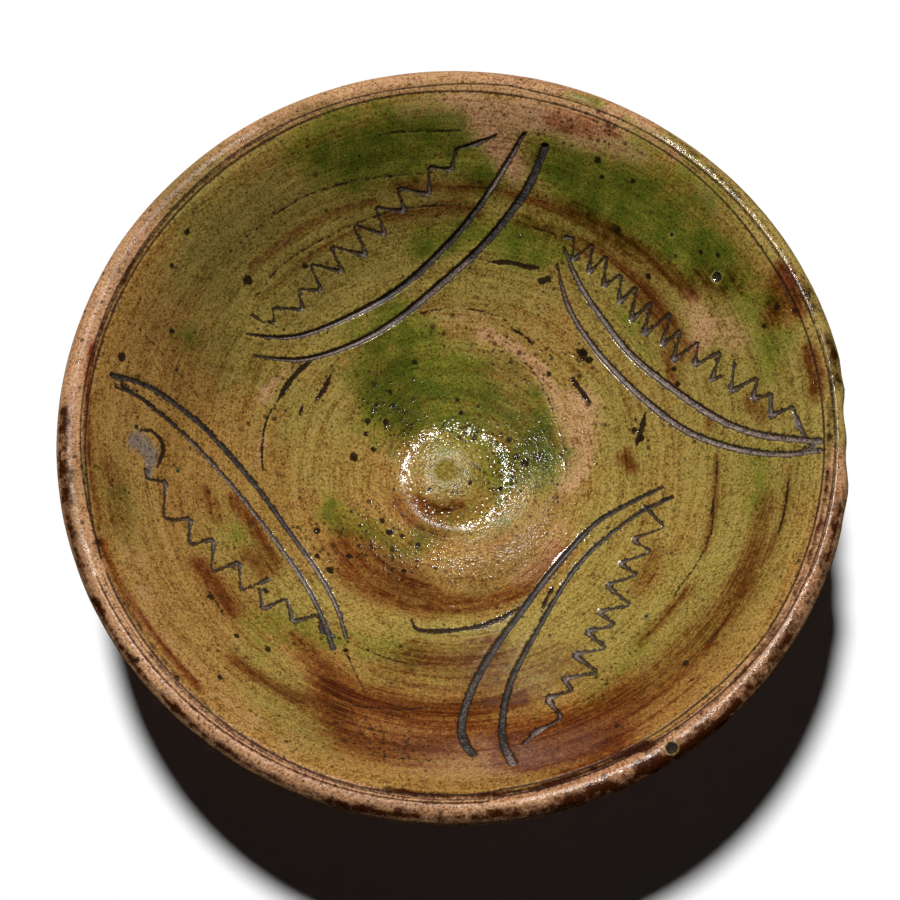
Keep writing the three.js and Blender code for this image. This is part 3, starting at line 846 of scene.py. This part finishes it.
def matt_floor_material(stage):
    """Matt white board, which shows a shadow and no gloss. It looks white and lights the bowl less."""
    material = new_material("matt_white_board")
    tree = material.node_tree
    tint = add_node(tree, MIX, {0: shown_white(tree), 6: linear("#484848"), 7: (*stage.floor, 1)}, **TONES)
    shader = add_node(tree, "ShaderNodeBsdfDiffuse", {"Color": tint, "Roughness": 0.0})
    add_node(tree, "ShaderNodeOutputMaterial", {"Surface": shader})
    return material


# Noises in the glaze: the size of their lumps in millimetres, and their detail

GLAZE_NOISES = {"broad": (26, 2), "blotch": (9, 4), "mottle": (2.4, 4), "grit": (0.9, 3),
                "pimple": (0.55, 1)}

# Noises drawn out round the wheel: how fast they run round it, the spacing of their streaks in
# millimetres, their detail and how far they are bent

WHEEL_NOISES = {"streak": (1.6, 2.2, 4, 0.3), "brush": (2.4, 0.75, 3, 0)}

# The stains in the glaze: the attribute that places each, the noises that break it up, where it starts
# and ends, and the light that it lets through besides the colour that the settings give

STAINS = [
    ("smoke", {"broad": 1.0, "blotch": 1.0}, 0.1, 1.0, "#d0cfca"),
    ("copper", {"blotch": 1.4, "mottle": 1.2, "streak": 0.7}, 0.0, 0.75, None),
    ("copper", {"blotch": 2.0, "mottle": 1.4, "grit": 0.6}, 0.55, 1.2, "#b6cfae"),
    ("iron", {"streak": 1.7, "brush": 1.3, "mottle": 1.4}, 0.0, 0.7, None),
    ("iron", {"streak": 2.0, "brush": 1.8, "mottle": 1.8}, 0.45, 1.15, "#b6948a"),
    ("iron", {"streak": 2.2, "brush": 1.8, "blotch": 1.6}, 0.9, 1.7, "#a08078"),
]

# Iron specks: the spacing of their cells in millimetres, the share of cells left bare, and their size
# as a share of the spacing. The finest are about as fine as can show.

SPECK_SIZES = [(1.5, 0.8, 0.4), (2.8, 0.74, 0.34), (6.5, 0.76, 0.2)]

# Relief in the glaze, in millimetres: pimples and the slip's brush marks, the dimple at each speck, and
# the spacing of the burst bubbles round the boss

RELIEF_HEIGHTS = {"pimple": 0.085, "grit": 0.03, "mottle": 0.11, "streak": 0.06}
SPECK_DIMPLE = 0.05
BUBBLE_SPACING = 1.7


def round_the_wheel(tree, place, turn, spacing):
    """Coordinates that run slowly round the bowl's axis and fast away from it, for thrown streaks."""
    flat = add_node(tree, VECTOR, {0: place, 1: (1, 1, 0)}, operation="MULTIPLY")
    radius = add_node(tree, VECTOR, {0: flat}, "Value", operation="LENGTH")
    bearing = add_node(tree, VECTOR, {0: flat}, operation="NORMALIZE")
    around = add_node(tree, VECTOR, {0: bearing, "Scale": turn}, operation="SCALE")
    steps = add_node(tree, MATH, {0: radius, 1: 1 / (spacing * MM)}, operation="MULTIPLY")
    across = add_node(tree, "ShaderNodeCombineXYZ", {"Z": steps})
    return add_node(tree, VECTOR, {0: around, 1: across}, operation="ADD")


def glaze_maps(tree, place):
    """What the glaze's layers share: noises, each from 0 to 1 about a middle of a half, and for each
    stored attribute where it lies."""
    maps = {}
    for name, (size, detail) in GLAZE_NOISES.items():
        maps[name] = add_node(tree, NOISE, {"Vector": place, "Scale": 1 / (size * MM), "Detail": detail,
                                            "Roughness": 0.6})
    for name, (turn, spacing, detail, bend) in WHEEL_NOISES.items():
        around = round_the_wheel(tree, place, turn, spacing)
        maps[name] = add_node(tree, NOISE, {"Vector": around, "Scale": 1.0, "Detail": detail,
                                            "Roughness": 0.6, "Distortion": bend})
    for name in GLAZE_ATTRIBUTES:
        maps[name] = add_node(tree, ATTRIBUTE, {}, "Fac", attribute_name=name)
    return maps


def varied(tree, value, maps, **swings):
    """A value made uneven by noises, each swinging it by its own amount about its middle."""
    value = add_node(tree, MATH, {0: value, 1: -0.5 * sum(swings.values())}, operation="ADD")
    for name, swing in swings.items():
        value = add_node(tree, MATH, {0: maps[name], 1: swing, 2: value}, operation="MULTIPLY_ADD")
    return value


def placed(tree, maps, name, low, high, **swings):
    """How far a painted patch shows: its attribute made uneven by noises, from one level to another."""
    uneven = varied(tree, maps[name], maps, **swings)
    share = add_node(tree, RANGE, {0: uneven, 1: low, 2: high}, interpolation_type="SMOOTHSTEP")
    inside = add_node(tree, RANGE, {0: maps[name], 1: 0.02, 2: 0.3})
    return add_node(tree, MATH, {0: share, 1: inside}, operation="MULTIPLY")


def slip_tone(tree, maps, glaze):
    """The brushed slip under clear glaze: ochre, olive where it is thick, pink where it is thin."""
    olive = placed(tree, maps, "olive", -0.1, 0.7, broad=0.9, blotch=0.8, streak=0.8)
    thin = placed(tree, maps, "thin", 0.15, 0.85, blotch=0.9, mottle=0.7)
    bare = add_node(tree, RANGE, {0: olive, 1: 0.0, 2: 1.0, 3: 0.85, 4: 0.1})
    lip = add_node(tree, MATH, {0: maps["lip"], 1: bare}, operation="MULTIPLY")

    # Brush marks and mottling, dark and light
    dark = varied(tree, 0.5, maps, mottle=1.0, grit=1.0, streak=0.8, brush=0.8, blotch=0.4)
    dark = add_node(tree, RANGE, {0: dark, 1: 0.55, 2: 0.1, 3: 0.0, 4: 1.0})
    light = varied(tree, 0.5, maps, streak=0.9, brush=0.7, mottle=0.8, grit=0.8)
    light = add_node(tree, RANGE, {0: light, 1: 0.5, 2: 0.95, 3: 0.0, 4: 0.45})
    pepper = varied(tree, 0.0, maps, pimple=2.2, grit=1.6, mottle=1.4)
    pepper = add_node(tree, RANGE, {0: pepper, 1: 0.4, 2: 0.65, 3: 0.0, 4: 0.55})

    tone = (*glaze.ochre, 1)
    for share, tint, blend in (
        (olive, (*glaze.olive, 1), "MIX"),
        (lip, linear("#cc9a76"), "MIX"),
        (thin, (*glaze.pink, 1), "MIX"),
        (dark, linear("#b5a28a"), "MULTIPLY"),
        (light, linear("#c9ac68"), "MIX"),
        (pepper, linear("#4a3318"), "MIX"),
    ):
        tone = add_node(tree, MIX, {0: share, 6: tone, 7: tint}, **TONES, blend_type=blend)
    return tone


def stained_tone(tree, tone, maps, glaze):
    """The stains that copper, iron and smoke lay over the slip, each darkening what is under it."""
    for name, swings, low, high, lets_through in STAINS:
        share = placed(tree, maps, name, low, high, **swings)
        tint = linear(lets_through) if lets_through else (*getattr(glaze, name), 1)
        tone = add_node(tree, MIX, {0: share, 6: tone, 7: tint}, **TONES, blend_type="MULTIPLY")
    return tone


def iron_specks(tree, place, maps):
    """Where the iron specks lie: uneven spots of three sizes, thicker in the well and in clusters."""
    specks = 0.0
    for spacing, bare, size in SPECK_SIZES:
        apart = add_node(tree, "ShaderNodeTexVoronoi", {"Vector": place, "Scale": 1 / (spacing * MM)})
        lot = add_node(tree, "ShaderNodeSeparateColor", {0: apart.node.outputs["Color"]})
        lot = add_node(tree, MATH, {0: maps["specks"], 1: 0.5, 2: lot}, operation="MULTIPLY_ADD")
        reach = add_node(tree, RANGE, {0: lot, 1: bare, 2: 1.05, 3: 0.0, 4: size})
        inside = add_node(tree, MATH, {0: reach, 1: apart}, operation="SUBTRACT")
        inside = varied(tree, inside, maps, grit=0.5, pimple=0.3)
        spot = add_node(tree, RANGE, {0: inside, 1: -0.02, 2: 0.08})
        present = add_node(tree, RANGE, {0: reach, 1: 0.02, 2: 0.06})
        spot = add_node(tree, MATH, {0: spot, 1: present}, operation="MULTIPLY")
        specks = add_node(tree, MATH, {0: specks, 1: spot}, operation="MAXIMUM")
    return specks


def grainy(tree, tone, maps):
    """A tone with the fine light and dark grain that sand and tiny bubbles give the whole surface."""
    grain = varied(tree, 1.0, maps, pimple=2.0, grit=1.4)
    grain = add_node(tree, "ShaderNodeClamp", {0: grain, 1: 0.45, 2: 1.6})
    return add_node(tree, VECTOR, {0: tone, "Scale": grain}, operation="SCALE")


def marked_tone(tree, tone, maps, specks):
    """The specks, the fine dark lines, the single spots, the scar and the lines round the lip."""
    share = add_node(tree, MATH, {0: specks, 1: 0.8}, operation="MULTIPLY")
    tone = add_node(tree, MIX, {0: share, 6: tone, 7: linear("#33200f")}, **TONES)
    crust = varied(tree, 0.5, maps, mottle=1.6, grit=1.2)
    crust = add_node(tree, RANGE, {0: crust, 1: 0.2, 2: 0.9})
    crust = add_node(tree, MIX, {0: crust, 6: linear("#6d6057"), 7: linear("#8f8277")}, **TONES)
    scar = placed(tree, maps, "scar", 0.25, 0.75, mottle=0.7, grit=0.3)
    scar = add_node(tree, MATH, {0: scar, 1: 0.85}, operation="MULTIPLY")
    tone = add_node(tree, MIX, {0: scar, 6: tone, 7: crust}, **TONES)
    for name, swings, start, end, depth, ink in (
        ("mark", {"mottle": 1.2, "blotch": 0.7, "grit": 0.8}, 0.15, -0.2, 0.96, "#2a1c15"),
        ("spot", {"mottle": 0.8, "grit": 0.9}, 0.3, -0.15, 0.95, "#22180f"),
        ("groove", {"mottle": 0.35, "grit": 0.3, "blotch": 0.3}, 0.2, -0.08, 0.85, "#2f1e1a"),
        ("pit", {"grit": 0.5}, 0.8, 0.4, 0.3, "#b3a95e"),
        ("pit", {"grit": 0.3}, 0.12, -0.12, 0.95, "#2a2421"),
    ):
        beyond = varied(tree, maps[name], maps, **swings)
        share = add_node(tree, RANGE, {0: beyond, 1: start, 2: end, 3: 0.0, 4: depth})
        tone = add_node(tree, MIX, {0: share, 6: tone, 7: linear(ink)}, **TONES)
    return tone


def cut_tone(tree, tone, maps):
    """The cuts: a painted shade along their edges and the top of their walls, and slate or pinkish clay on
    their floors. Gives back the tone and how far each place lies in a cut."""
    pale = varied(tree, 0.5, maps, mottle=1.7, grit=1.2, pimple=0.8)
    pale = add_node(tree, RANGE, {0: pale, 1: 0.25, 2: 0.8})
    pink_clay, slate_clay = [
        add_node(tree, MIX, {0: pale, 6: linear(dark), 7: linear(light)}, **TONES)
        for dark, light in (("#5c4e47", "#98877d"), ("#2d2927", "#544d48"))
    ]
    slate = placed(tree, maps, "slate", 0.0, 0.6, blotch=1.0, mottle=0.8)
    floor = add_node(tree, MIX, {0: slate, 6: pink_clay, 7: slate_clay}, **TONES)
    cut = 0.0
    for name, start, end in (("zigzag", -0.3, -0.8), ("gouge", -0.2, -0.5)):
        beyond = varied(tree, maps[name], maps, grit=1.5, mottle=1.6)
        # Painted shade: the edge and upper wall of each cut are darkened nearly to black, as where shade
        # falls into the cut
        edge = add_node(tree, RANGE, {0: beyond, 1: 0.3, 2: 0.02, 3: 0.0, 4: 0.92})
        tone = add_node(tree, MIX, {0: edge, 6: tone, 7: linear("#2b1f18")}, **TONES)
        bottom = add_node(tree, RANGE, {0: beyond, 1: start, 2: end})
        tone = add_node(tree, MIX, {0: bottom, 6: tone, 7: floor}, **TONES)
        cut = add_node(tree, MATH, {0: cut, 1: edge}, operation="MAXIMUM")
    return tone, cut


def lead_glaze_material(glaze):
    """Clear lead glaze, fired to a pimpled gloss over a pale brushed slip. It gives the eye a wet shine
    broken into glitter, and lets the slip, its stains and the cut clay show through."""
    material = new_material("lead_glaze_over_slip")
    tree = material.node_tree
    place = add_node(tree, COORDINATES, {}, "Object")
    maps = glaze_maps(tree, place)
    tone = slip_tone(tree, maps, glaze)
    tone = stained_tone(tree, tone, maps, glaze)
    dark_lip = placed(tree, maps, "lip_iron", 0.1, 0.95, blotch=2.0, streak=1.0, mottle=1.6)
    tone = add_node(tree, MIX, {0: dark_lip, 6: tone, 7: linear("#593c29")}, **TONES,
                    blend_type="MULTIPLY")
    specks = iron_specks(tree, place, maps)
    tone = marked_tone(tree, tone, maps, specks)
    tone, cut = cut_tone(tree, tone, maps)
    tone = grainy(tree, tone, maps)

    # Relief in millimetres, with a coarser, worn surface on the lip
    worn = varied(tree, 0.0, maps, grit=0.1, mottle=0.2)
    bubbles = add_node(tree, "ShaderNodeTexVoronoi", {"Vector": place, "Scale": 1 / (BUBBLE_SPACING * MM)})
    bubbles = add_node(tree, RANGE, {0: bubbles, 1: 0.15, 2: 0.55, 3: -0.28, 4: 0.0})
    relief = 0.0
    heights = [(maps[name], height) for name, height in RELIEF_HEIGHTS.items()]
    heights += [(specks, -SPECK_DIMPLE), (worn, maps["lip"]), (bubbles, maps["bubbly"])]
    for rise, amount in heights:
        relief = add_node(tree, MATH, {0: rise, 1: amount, 2: relief}, operation="MULTIPLY_ADD")
    bump = add_node(tree, "ShaderNodeBump", {"Height": relief, "Strength": 1.0, "Distance": MM})

    # Wet gloss, duller on the worn lip, in dry iron, in dry patches and on the floors of the cuts
    gloss = varied(tree, 0.12, maps, blotch=0.15, grit=0.15)
    worn = varied(tree, 0.16, maps, blotch=0.6, mottle=0.4)
    unwetted = add_node(tree, MATH, {0: 1.0, 1: maps["wet"]}, operation="SUBTRACT")
    lip = add_node(tree, MATH, {0: maps["lip"], 1: unwetted}, operation="MULTIPLY")
    groove = add_node(tree, RANGE, {0: maps["groove"], 1: 0.45, 2: 0.05})
    sheen = 0.5
    for dull, amount in ((lip, 0.36), (maps["outer"], 0.4), (maps["turned"], 0.3), (groove, 0.4),
                         (cut, 0.22), (maps["dry"], 0.56)):
        sheen = add_node(tree, MATH, {0: dull, 1: -amount, 2: sheen}, operation="MULTIPLY_ADD")
    sheen = add_node(tree, "ShaderNodeClamp", {0: sheen, 1: 0.0, 2: 0.5})
    for dull, amount in ((lip, worn), (dark_lip, 0.06), (cut, 0.35), (maps["dry"], 0.1), (groove, 0.2)):
        gloss = add_node(tree, MATH, {0: dull, 1: amount, 2: gloss}, operation="MULTIPLY_ADD")
    gloss = add_node(tree, "ShaderNodeClamp", {0: gloss, 1: 0.05, 2: 0.65})
    shader = add_node(tree, "ShaderNodeBsdfPrincipled",
                      {"Base Color": tone, "Roughness": gloss, "IOR": 1.55, "Normal": bump,
                       "Specular IOR Level": sheen})
    add_node(tree, "ShaderNodeOutputMaterial", {"Surface": shader})
    return material


class BOWL_OT_glaze_the_bowl(bpy.types.Operator):
    """Make the slipped and glazed show surface, with its cut arcs, zigzags, lines and flaws"""

    bl_idname = "bowl.glaze_the_bowl"
    bl_label = "Glaze the bowl"

    def execute(self, context):
        glaze = context.scene.bowl_glaze
        skin = glaze_skin()
        knock_rim(skin)
        strokes = all_strokes(skin)
        refine_near(skin, strokes["gouge"] + strokes["zigzag"], CUT_DIVISIONS, CUT_FACE_AREA)
        marks = strokes["mark"] + strokes["spot"] + strokes["pit"]
        refine_near(skin, marks, MARK_DIVISIONS, MARK_FACE_AREA)
        paint_and_carve(skin, strokes, glaze)
        skin.data.materials.append(lead_glaze_material(glaze))
        pick(skin)
        bpy.ops.object.shade_smooth()
        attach(skin, "root")
        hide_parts("slip_coat", "glaze_coat")
        return {"FINISHED"}


def glaze_skin():
    """The closed skin of slip and glaze. It is finest where the lip's lines are turned, fine on the rest
    of its show side and coarse where it lies on the clay."""
    show = smooth_line(SHOW_SECTION, DRAWN_SPACING)
    start = int(np.argmax(show[:, 0] >= LIP_START))
    crest = int(np.argmax(show[:, 0] >= LIP_CREST))
    inner = smooth_line(show[: start + 1], RING_SPACING)
    grooved = smooth_line(show[start : crest + 1], GROOVE_SPACING)
    outer = smooth_line(show[crest:], LIP_SPACING)
    hidden = inset(SHOW_SECTION, COAT)[::-1][1:]
    hidden[-1, 0] = 0
    outline = np.vstack([inner[:-1], grooved[:-1], outer, [SKIN_EDGE], hidden])
    skin = drawn_outline("glazed_slip", outline)
    throw_on_wheel(skin, GLAZE_STEPS)
    return skin


def zigzag_path(pixels, widths, lingering):
    """A zigzag's path with its turns rounded a little, and its half widths. The stroke is broad at every
    second turn, where the tool lingers, and narrow between the turns."""
    pixels = np.array(pixels, float)
    turns = np.arange(len(pixels))
    at_turns = np.interp(turns, [0, turns[-1] / 2, turns[-1]], widths)
    at_turns *= np.where(turns % 2 == lingering, LINGERING_SWELL, PASSING_SWELL)
    path, halves = [pixels[0]], [at_turns[0]]
    for a, b, half_a, half_b in zip(pixels[:-1], pixels[1:], at_turns[:-1], at_turns[1:]):
        path += [a + (b - a) * share for share in (TURN_ROUNDING, 0.5, 1 - TURN_ROUNDING)]
        halves += [half_a, WAIST * (half_a + half_b) / 2, half_b]
    return path, halves


def flowing(pixels):
    """The path of one free sweep of the hand through the given pixels."""
    line = smooth_line(pixels, SWEEP_STEP)
    for _ in range(SWEEP_PASSES):
        line[1:-1] = (line[:-2] + 2 * line[1:-1] + line[2:]) / 4
    return line


def stroke(skin, path, halves):
    """A stroke cast onto the skin, with its half widths spread evenly along it."""
    line = cast_onto(skin, path)
    shares = np.linspace(0, 1, len(halves))
    return line, np.interp(np.linspace(0, 1, len(line)), shares, halves)


def all_strokes(skin):
    """Every gouged arc, scratched zigzag, fine line and spot as strokes on the skin."""
    gouges = []
    for pixels, (start, middle, end) in GOUGES:
        halves = [start, (start + middle) / 2, middle, (middle + end) / 2, end]
        halves = np.interp(np.linspace(0, 1, GOUGE_POINTS), GOUGE_STOPS, halves)
        gouges.append(stroke(skin, flowing(pixels), halves))
    zigzags = [stroke(skin, *zigzag_path(*zigzag)) for zigzag in ZIGZAGS]
    lines = []
    for pixels, half in WHEEL_LINES + SCAR_RIDGES:
        lines.append(stroke(skin, smooth_line(pixels, LINE_STEP), half * np.array(LINE_SWELL)))
    spots = [stroke(skin, [pixel], [half]) for pixel, half in DARK_SPOTS]
    pits = [stroke(skin, [pixel], [half]) for pixel, half, _ in PITS]
    return {"gouge": gouges, "zigzag": zigzags, "mark": lines, "spot": spots, "pit": pits}


def least_beyond(points, strokes):
    """Distance beyond the nearest of several strokes, in millimetres and no more than their reach."""
    least = np.full(len(points), STROKE_REACH)
    for line, halves in strokes:
        least = np.minimum(least, beyond_stroke(points, line, halves))
    return least


def beyond_rim_lines(points):
    """Distance in millimetres beyond the nearest line turned round the lip."""
    radius = radius_of(points)
    bearing = np.degrees(np.arctan2(points[:, 1], points[:, 0])) % 360
    least = np.full(len(points), STROKE_REACH)
    for line, half in RIM_LINES:
        bearings, radii = np.array(line).T
        for turn in (bearing, bearing + 360):
            reached = (turn >= bearings[0]) & (turn <= bearings[-1])
            off = np.abs(radius - np.interp(turn, bearings, radii)) - half
            least = np.where(reached, np.minimum(least, off), least)
    return least


def refine_near(skin, strokes, cuts, smallest):
    """Divides the show side's faces near some strokes, so that their edges are crisp. Faces that are
    already smaller than the least area, in square millimetres, are left."""
    faces = skin.data.polygons
    upward = mesh_values(faces, "normal")[:, 2] > REFINED_RISE
    near = least_beyond(mesh_values(faces, "center"), strokes) < EDGE_REACH
    large = mesh_values(faces, "area", 1)[:, 0] > smallest * MM * MM
    pick(skin)
    bpy.ops.object.mode_set(mode="EDIT")
    bpy.ops.mesh.select_all(action="DESELECT")
    bpy.ops.mesh.select_mode(type="FACE")
    bpy.ops.object.mode_set(mode="OBJECT")
    skin.data.polygons.foreach_set("select", near & upward & large)
    bpy.ops.object.mode_set(mode="EDIT")
    bpy.ops.mesh.subdivide(number_cuts=cuts)
    bpy.ops.mesh.select_all(action="DESELECT")
    bpy.ops.mesh.select_mode(type="VERT")
    bpy.ops.object.mode_set(mode="OBJECT")


def paint(skin, points, showing, strokes):
    """Stores where each patch, mark and cut lies, for the material, and gives back the marks."""
    radius = radius_of(points)
    marks = {name: least_beyond(points, some) for name, some in strokes.items()}
    marks["groove"] = beyond_rim_lines(points)
    for name in marks:
        marks[name] = np.where(showing, marks[name], STROKE_REACH)
        store(skin, name, marks[name])
    for name, (start, end, fade) in LIP_BANDS.items():
        store(skin, name, ease((radius - start) / fade) * ease((end - radius) / fade))
    for name, patches in PAINTED.items():
        store(skin, name, np.where(showing, wash(skin, points, patches), 0))
    return marks


def paint_and_carve(skin, strokes, glaze):
    """Stores where each colour and mark lies, and cuts the marks into the surface."""
    points = mesh_values(skin.data.vertices, "co")
    showing = mesh_values(skin.data.vertices, "normal")[:, 2] > SHOWING_RISE
    marks = paint(skin, points, showing, strokes)
    store(skin, "lip_iron", wash(skin, points, BROWN_LIP + RIM_STAINS))

    cut = np.zeros(len(points))
    for (place, (half,)), (_, _, depth) in zip(strokes["pit"], PITS):
        distance, _ = reach_from(points, place, PIT_EDGE * half)
        cut = np.maximum(cut, depth * ease(PIT_STEEPNESS * (1 - distance / (PIT_EDGE * half))))
    depths = {"gouge": glaze.gouge_depth / MM, "zigzag": ZIGZAG_DEPTH, "groove": RIM_LINE_DEPTH,
              "mark": LINE_DEPTH}
    for name, (start, slope) in CUT_SIDES.items():
        cut = np.maximum(cut, depths[name] * ease((start - marks[name]) / slope))
    burr = np.zeros(len(points))
    for name, (height, crest, half) in BURRS.items():
        burr = np.maximum(burr, height * ease(1 - np.abs(marks[name] - crest) / half))

    displace(skin, -DEEPEST_CUT, weights=cut / DEEPEST_CUT)
    displace(skin, HIGHEST_BURR, weights=burr / HIGHEST_BURR)
    thrown, pooled = clouds("thrown_wall", THROWN_LUMPS), clouds("pooled_glaze", POOLED_LUMPS)
    displace(skin, glaze.unevenness / MM, texture=thrown, middle=LUMPS_MIDDLE)
    displace(skin, POOLED_HEIGHT, texture=pooled, middle=LUMPS_MIDDLE)


# Bare clay


def fired_clay_material(name, clay):
    """Fired earthenware, turned and left bare. It is matt and sandy, with darker rings from the tool and
    cloudy patches from the kiln."""
    material = new_material(name)
    tree = material.node_tree
    place = add_node(tree, COORDINATES, {}, "Object")
    around = round_the_wheel(tree, place, 2.0, 1.3)
    rings = add_node(tree, NOISE, {"Vector": around, "Scale": 1.0, "Detail": 3.0})
    cloudy = add_node(tree, NOISE, {"Vector": place, "Scale": 1 / (22 * MM), "Detail": 4.0})
    sand = add_node(tree, NOISE, {"Vector": place, "Scale": 1 / (0.7 * MM), "Detail": 2.0})
    tone = (*clay.clay, 1)
    for noise, low, high, depth, tint in (
        (cloudy, 0.35, 0.65, 0.6, "#7c4a33"),
        (rings, 0.5, 0.7, 0.45, "#5d3826"),
        (sand, 0.55, 0.75, 0.5, "#c08d68"),
    ):
        share = add_node(tree, RANGE, {0: noise, 1: low, 2: high, 3: 0.0, 4: depth})
        tone = add_node(tree, MIX, {0: share, 6: tone, 7: linear(tint)}, **TONES)
    relief = add_node(tree, MATH, {0: sand, 1: 0.5, 2: rings}, operation="MULTIPLY_ADD")
    bump = add_node(tree, "ShaderNodeBump", {"Height": relief, "Strength": 0.8, "Distance": 0.25 * MM})
    shader = add_node(tree, "ShaderNodeBsdfPrincipled",
                      {"Base Color": tone, "Roughness": 0.85, "IOR": 1.45, "Normal": bump})
    add_node(tree, "ShaderNodeOutputMaterial", {"Surface": shader})
    return material


class BOWL_OT_throw_the_body(bpy.types.Operator):
    """Make the thrown clay body that the slip and glaze lie on"""

    bl_idname = "bowl.throw_the_body"
    bl_label = "Throw the clay body"

    def execute(self, context):
        clay = context.scene.bowl_clay
        bed = inset(SHOW_SECTION, COAT + CLAY_GAP)
        bed[0, 0] = 0
        outside = smooth_line(WALL_OUTSIDE, WALL_SPACING)
        base = smooth_line(BASE_INSIDE, BASE_SPACING)
        body = drawn_outline("thrown_clay_body", np.vstack([bed[:-1], outside, base]))
        throw_on_wheel(body, CLAY_STEPS)
        knock_rim(body)
        mark_by_turning(body, clay.turning / MM)
        body.data.materials.append(fired_clay_material("thrown_earthenware", clay))
        pick(body)
        bpy.ops.object.shade_smooth_by_angle(angle=SMOOTH_ANGLE)
        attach(body, "root")
        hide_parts("bowl_body")
        return {"FINISHED"}


def knock_rim(piece):
    """Pushes the rim in towards the bowl's axis where it is chipped or nicked."""
    for bearing, reach, depth in RIM_KNOCKS:
        turn = math.radians(bearing)
        way = Vector((math.cos(turn), math.sin(turn), 0))
        ends = []
        for radius in (KNOCK_RADIUS, KNOCK_RADIUS - depth):
            bpy.ops.object.empty_add(location=way * radius * MM + Vector((0, 0, KNOCK_HEIGHT * MM)))
            ends.append(bpy.context.object)
        modifier = piece.modifiers.new("knock", "WARP")
        modifier.object_from, modifier.object_to = ends
        modifier.falloff_radius = reach * MM
        modifier.falloff_type = "SMOOTH"
        pick(piece)
        bpy.ops.object.modifier_apply(modifier="knock")
        for end in ends:
            bpy.data.objects.remove(end)


def mark_by_turning(piece, height):
    """Cuts faint steps round the outside, as a turning tool leaves them."""
    points = mesh_values(piece.data.vertices, "co")
    radius = radius_of(points)
    outside = mesh_values(piece.data.vertices, "normal")[:, 2] < CLAY_SHOW_RISE
    outside &= (radius > TURNED_FROM) & (radius < TURNED_TO)
    bearing = np.arctan2(points[:, 1], points[:, 0])
    broad = 0.5 + 0.5 * np.sin(radius * 2 * math.pi / BROAD_TURNING + bearing)
    fine = 0.5 + 0.5 * np.sin(radius * 2 * math.pi / FINE_TURNING)
    share = np.where(outside, BROAD_SHARE * broad + (1 - BROAD_SHARE) * fine, 0)
    displace(piece, -2 * height, weights=share)


class BOWL_OT_turn_the_foot(bpy.types.Operator):
    """Make the turned foot ring that is luted under the bowl"""

    bl_idname = "bowl.turn_the_foot"
    bl_label = "Turn the foot"

    def execute(self, context):
        clay = context.scene.bowl_clay
        sides = smooth_line(FOOT_SECTION, FOOT_SPACING)
        foot = drawn_outline("turned_foot_ring", sides, closed=True)
        throw_on_wheel(foot, FOOT_STEPS)
        foot.data.materials.append(fired_clay_material("turned_earthenware", clay))
        pick(foot)
        bpy.ops.object.shade_smooth_by_angle(angle=SMOOTH_ANGLE)
        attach(foot, "root")
        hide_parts("foot_ring")
        return {"FINISHED"}


class BOWL_PT_panel(bpy.types.Panel):
    """Lists the bowl's pieces and settings"""

    bl_idname = "BOWL_PT_panel"
    bl_label = "Footed bowl"
    bl_space_type = "VIEW_3D"
    bl_region_type = "UI"
    bl_category = "Bowl"

    def draw(self, context):
        for settings, operators in SECTIONS:
            group = getattr(context.scene, settings)
            box = self.layout.box()
            for name in group.__annotations__:
                box.prop(group, name)
            for operator in operators:
                box.operator(operator)


SECTIONS = [
    ("bowl_stage", ["bowl.add_stage"]),
    ("bowl_clay", ["bowl.throw_the_body", "bowl.turn_the_foot"]),
    ("bowl_glaze", ["bowl.glaze_the_bowl"]),
]
SETTINGS = {"bowl_glaze": BowlGlaze, "bowl_clay": BowlClay, "bowl_stage": BowlStage}
CLASSES = [*SETTINGS.values(), BOWL_OT_add_stage, BOWL_OT_glaze_the_bowl, BOWL_OT_throw_the_body,
           BOWL_OT_turn_the_foot, BOWL_PT_panel]


def register():
    for item in CLASSES:
        bpy.utils.register_class(item)
    for name, group in SETTINGS.items():
        setattr(bpy.types.Scene, name, PointerProperty(type=group))


def unregister():
    for name in SETTINGS:
        delattr(bpy.types.Scene, name)
    for item in reversed(CLASSES):
        bpy.utils.unregister_class(item)


def main():
    """Builds the bowl and its stage."""
    register()
    bpy.ops.bowl.add_stage()
    bpy.ops.bowl.throw_the_body()
    bpy.ops.bowl.turn_the_foot()
    bpy.ops.bowl.glaze_the_bowl()


if __name__ == "__main__":
    main()
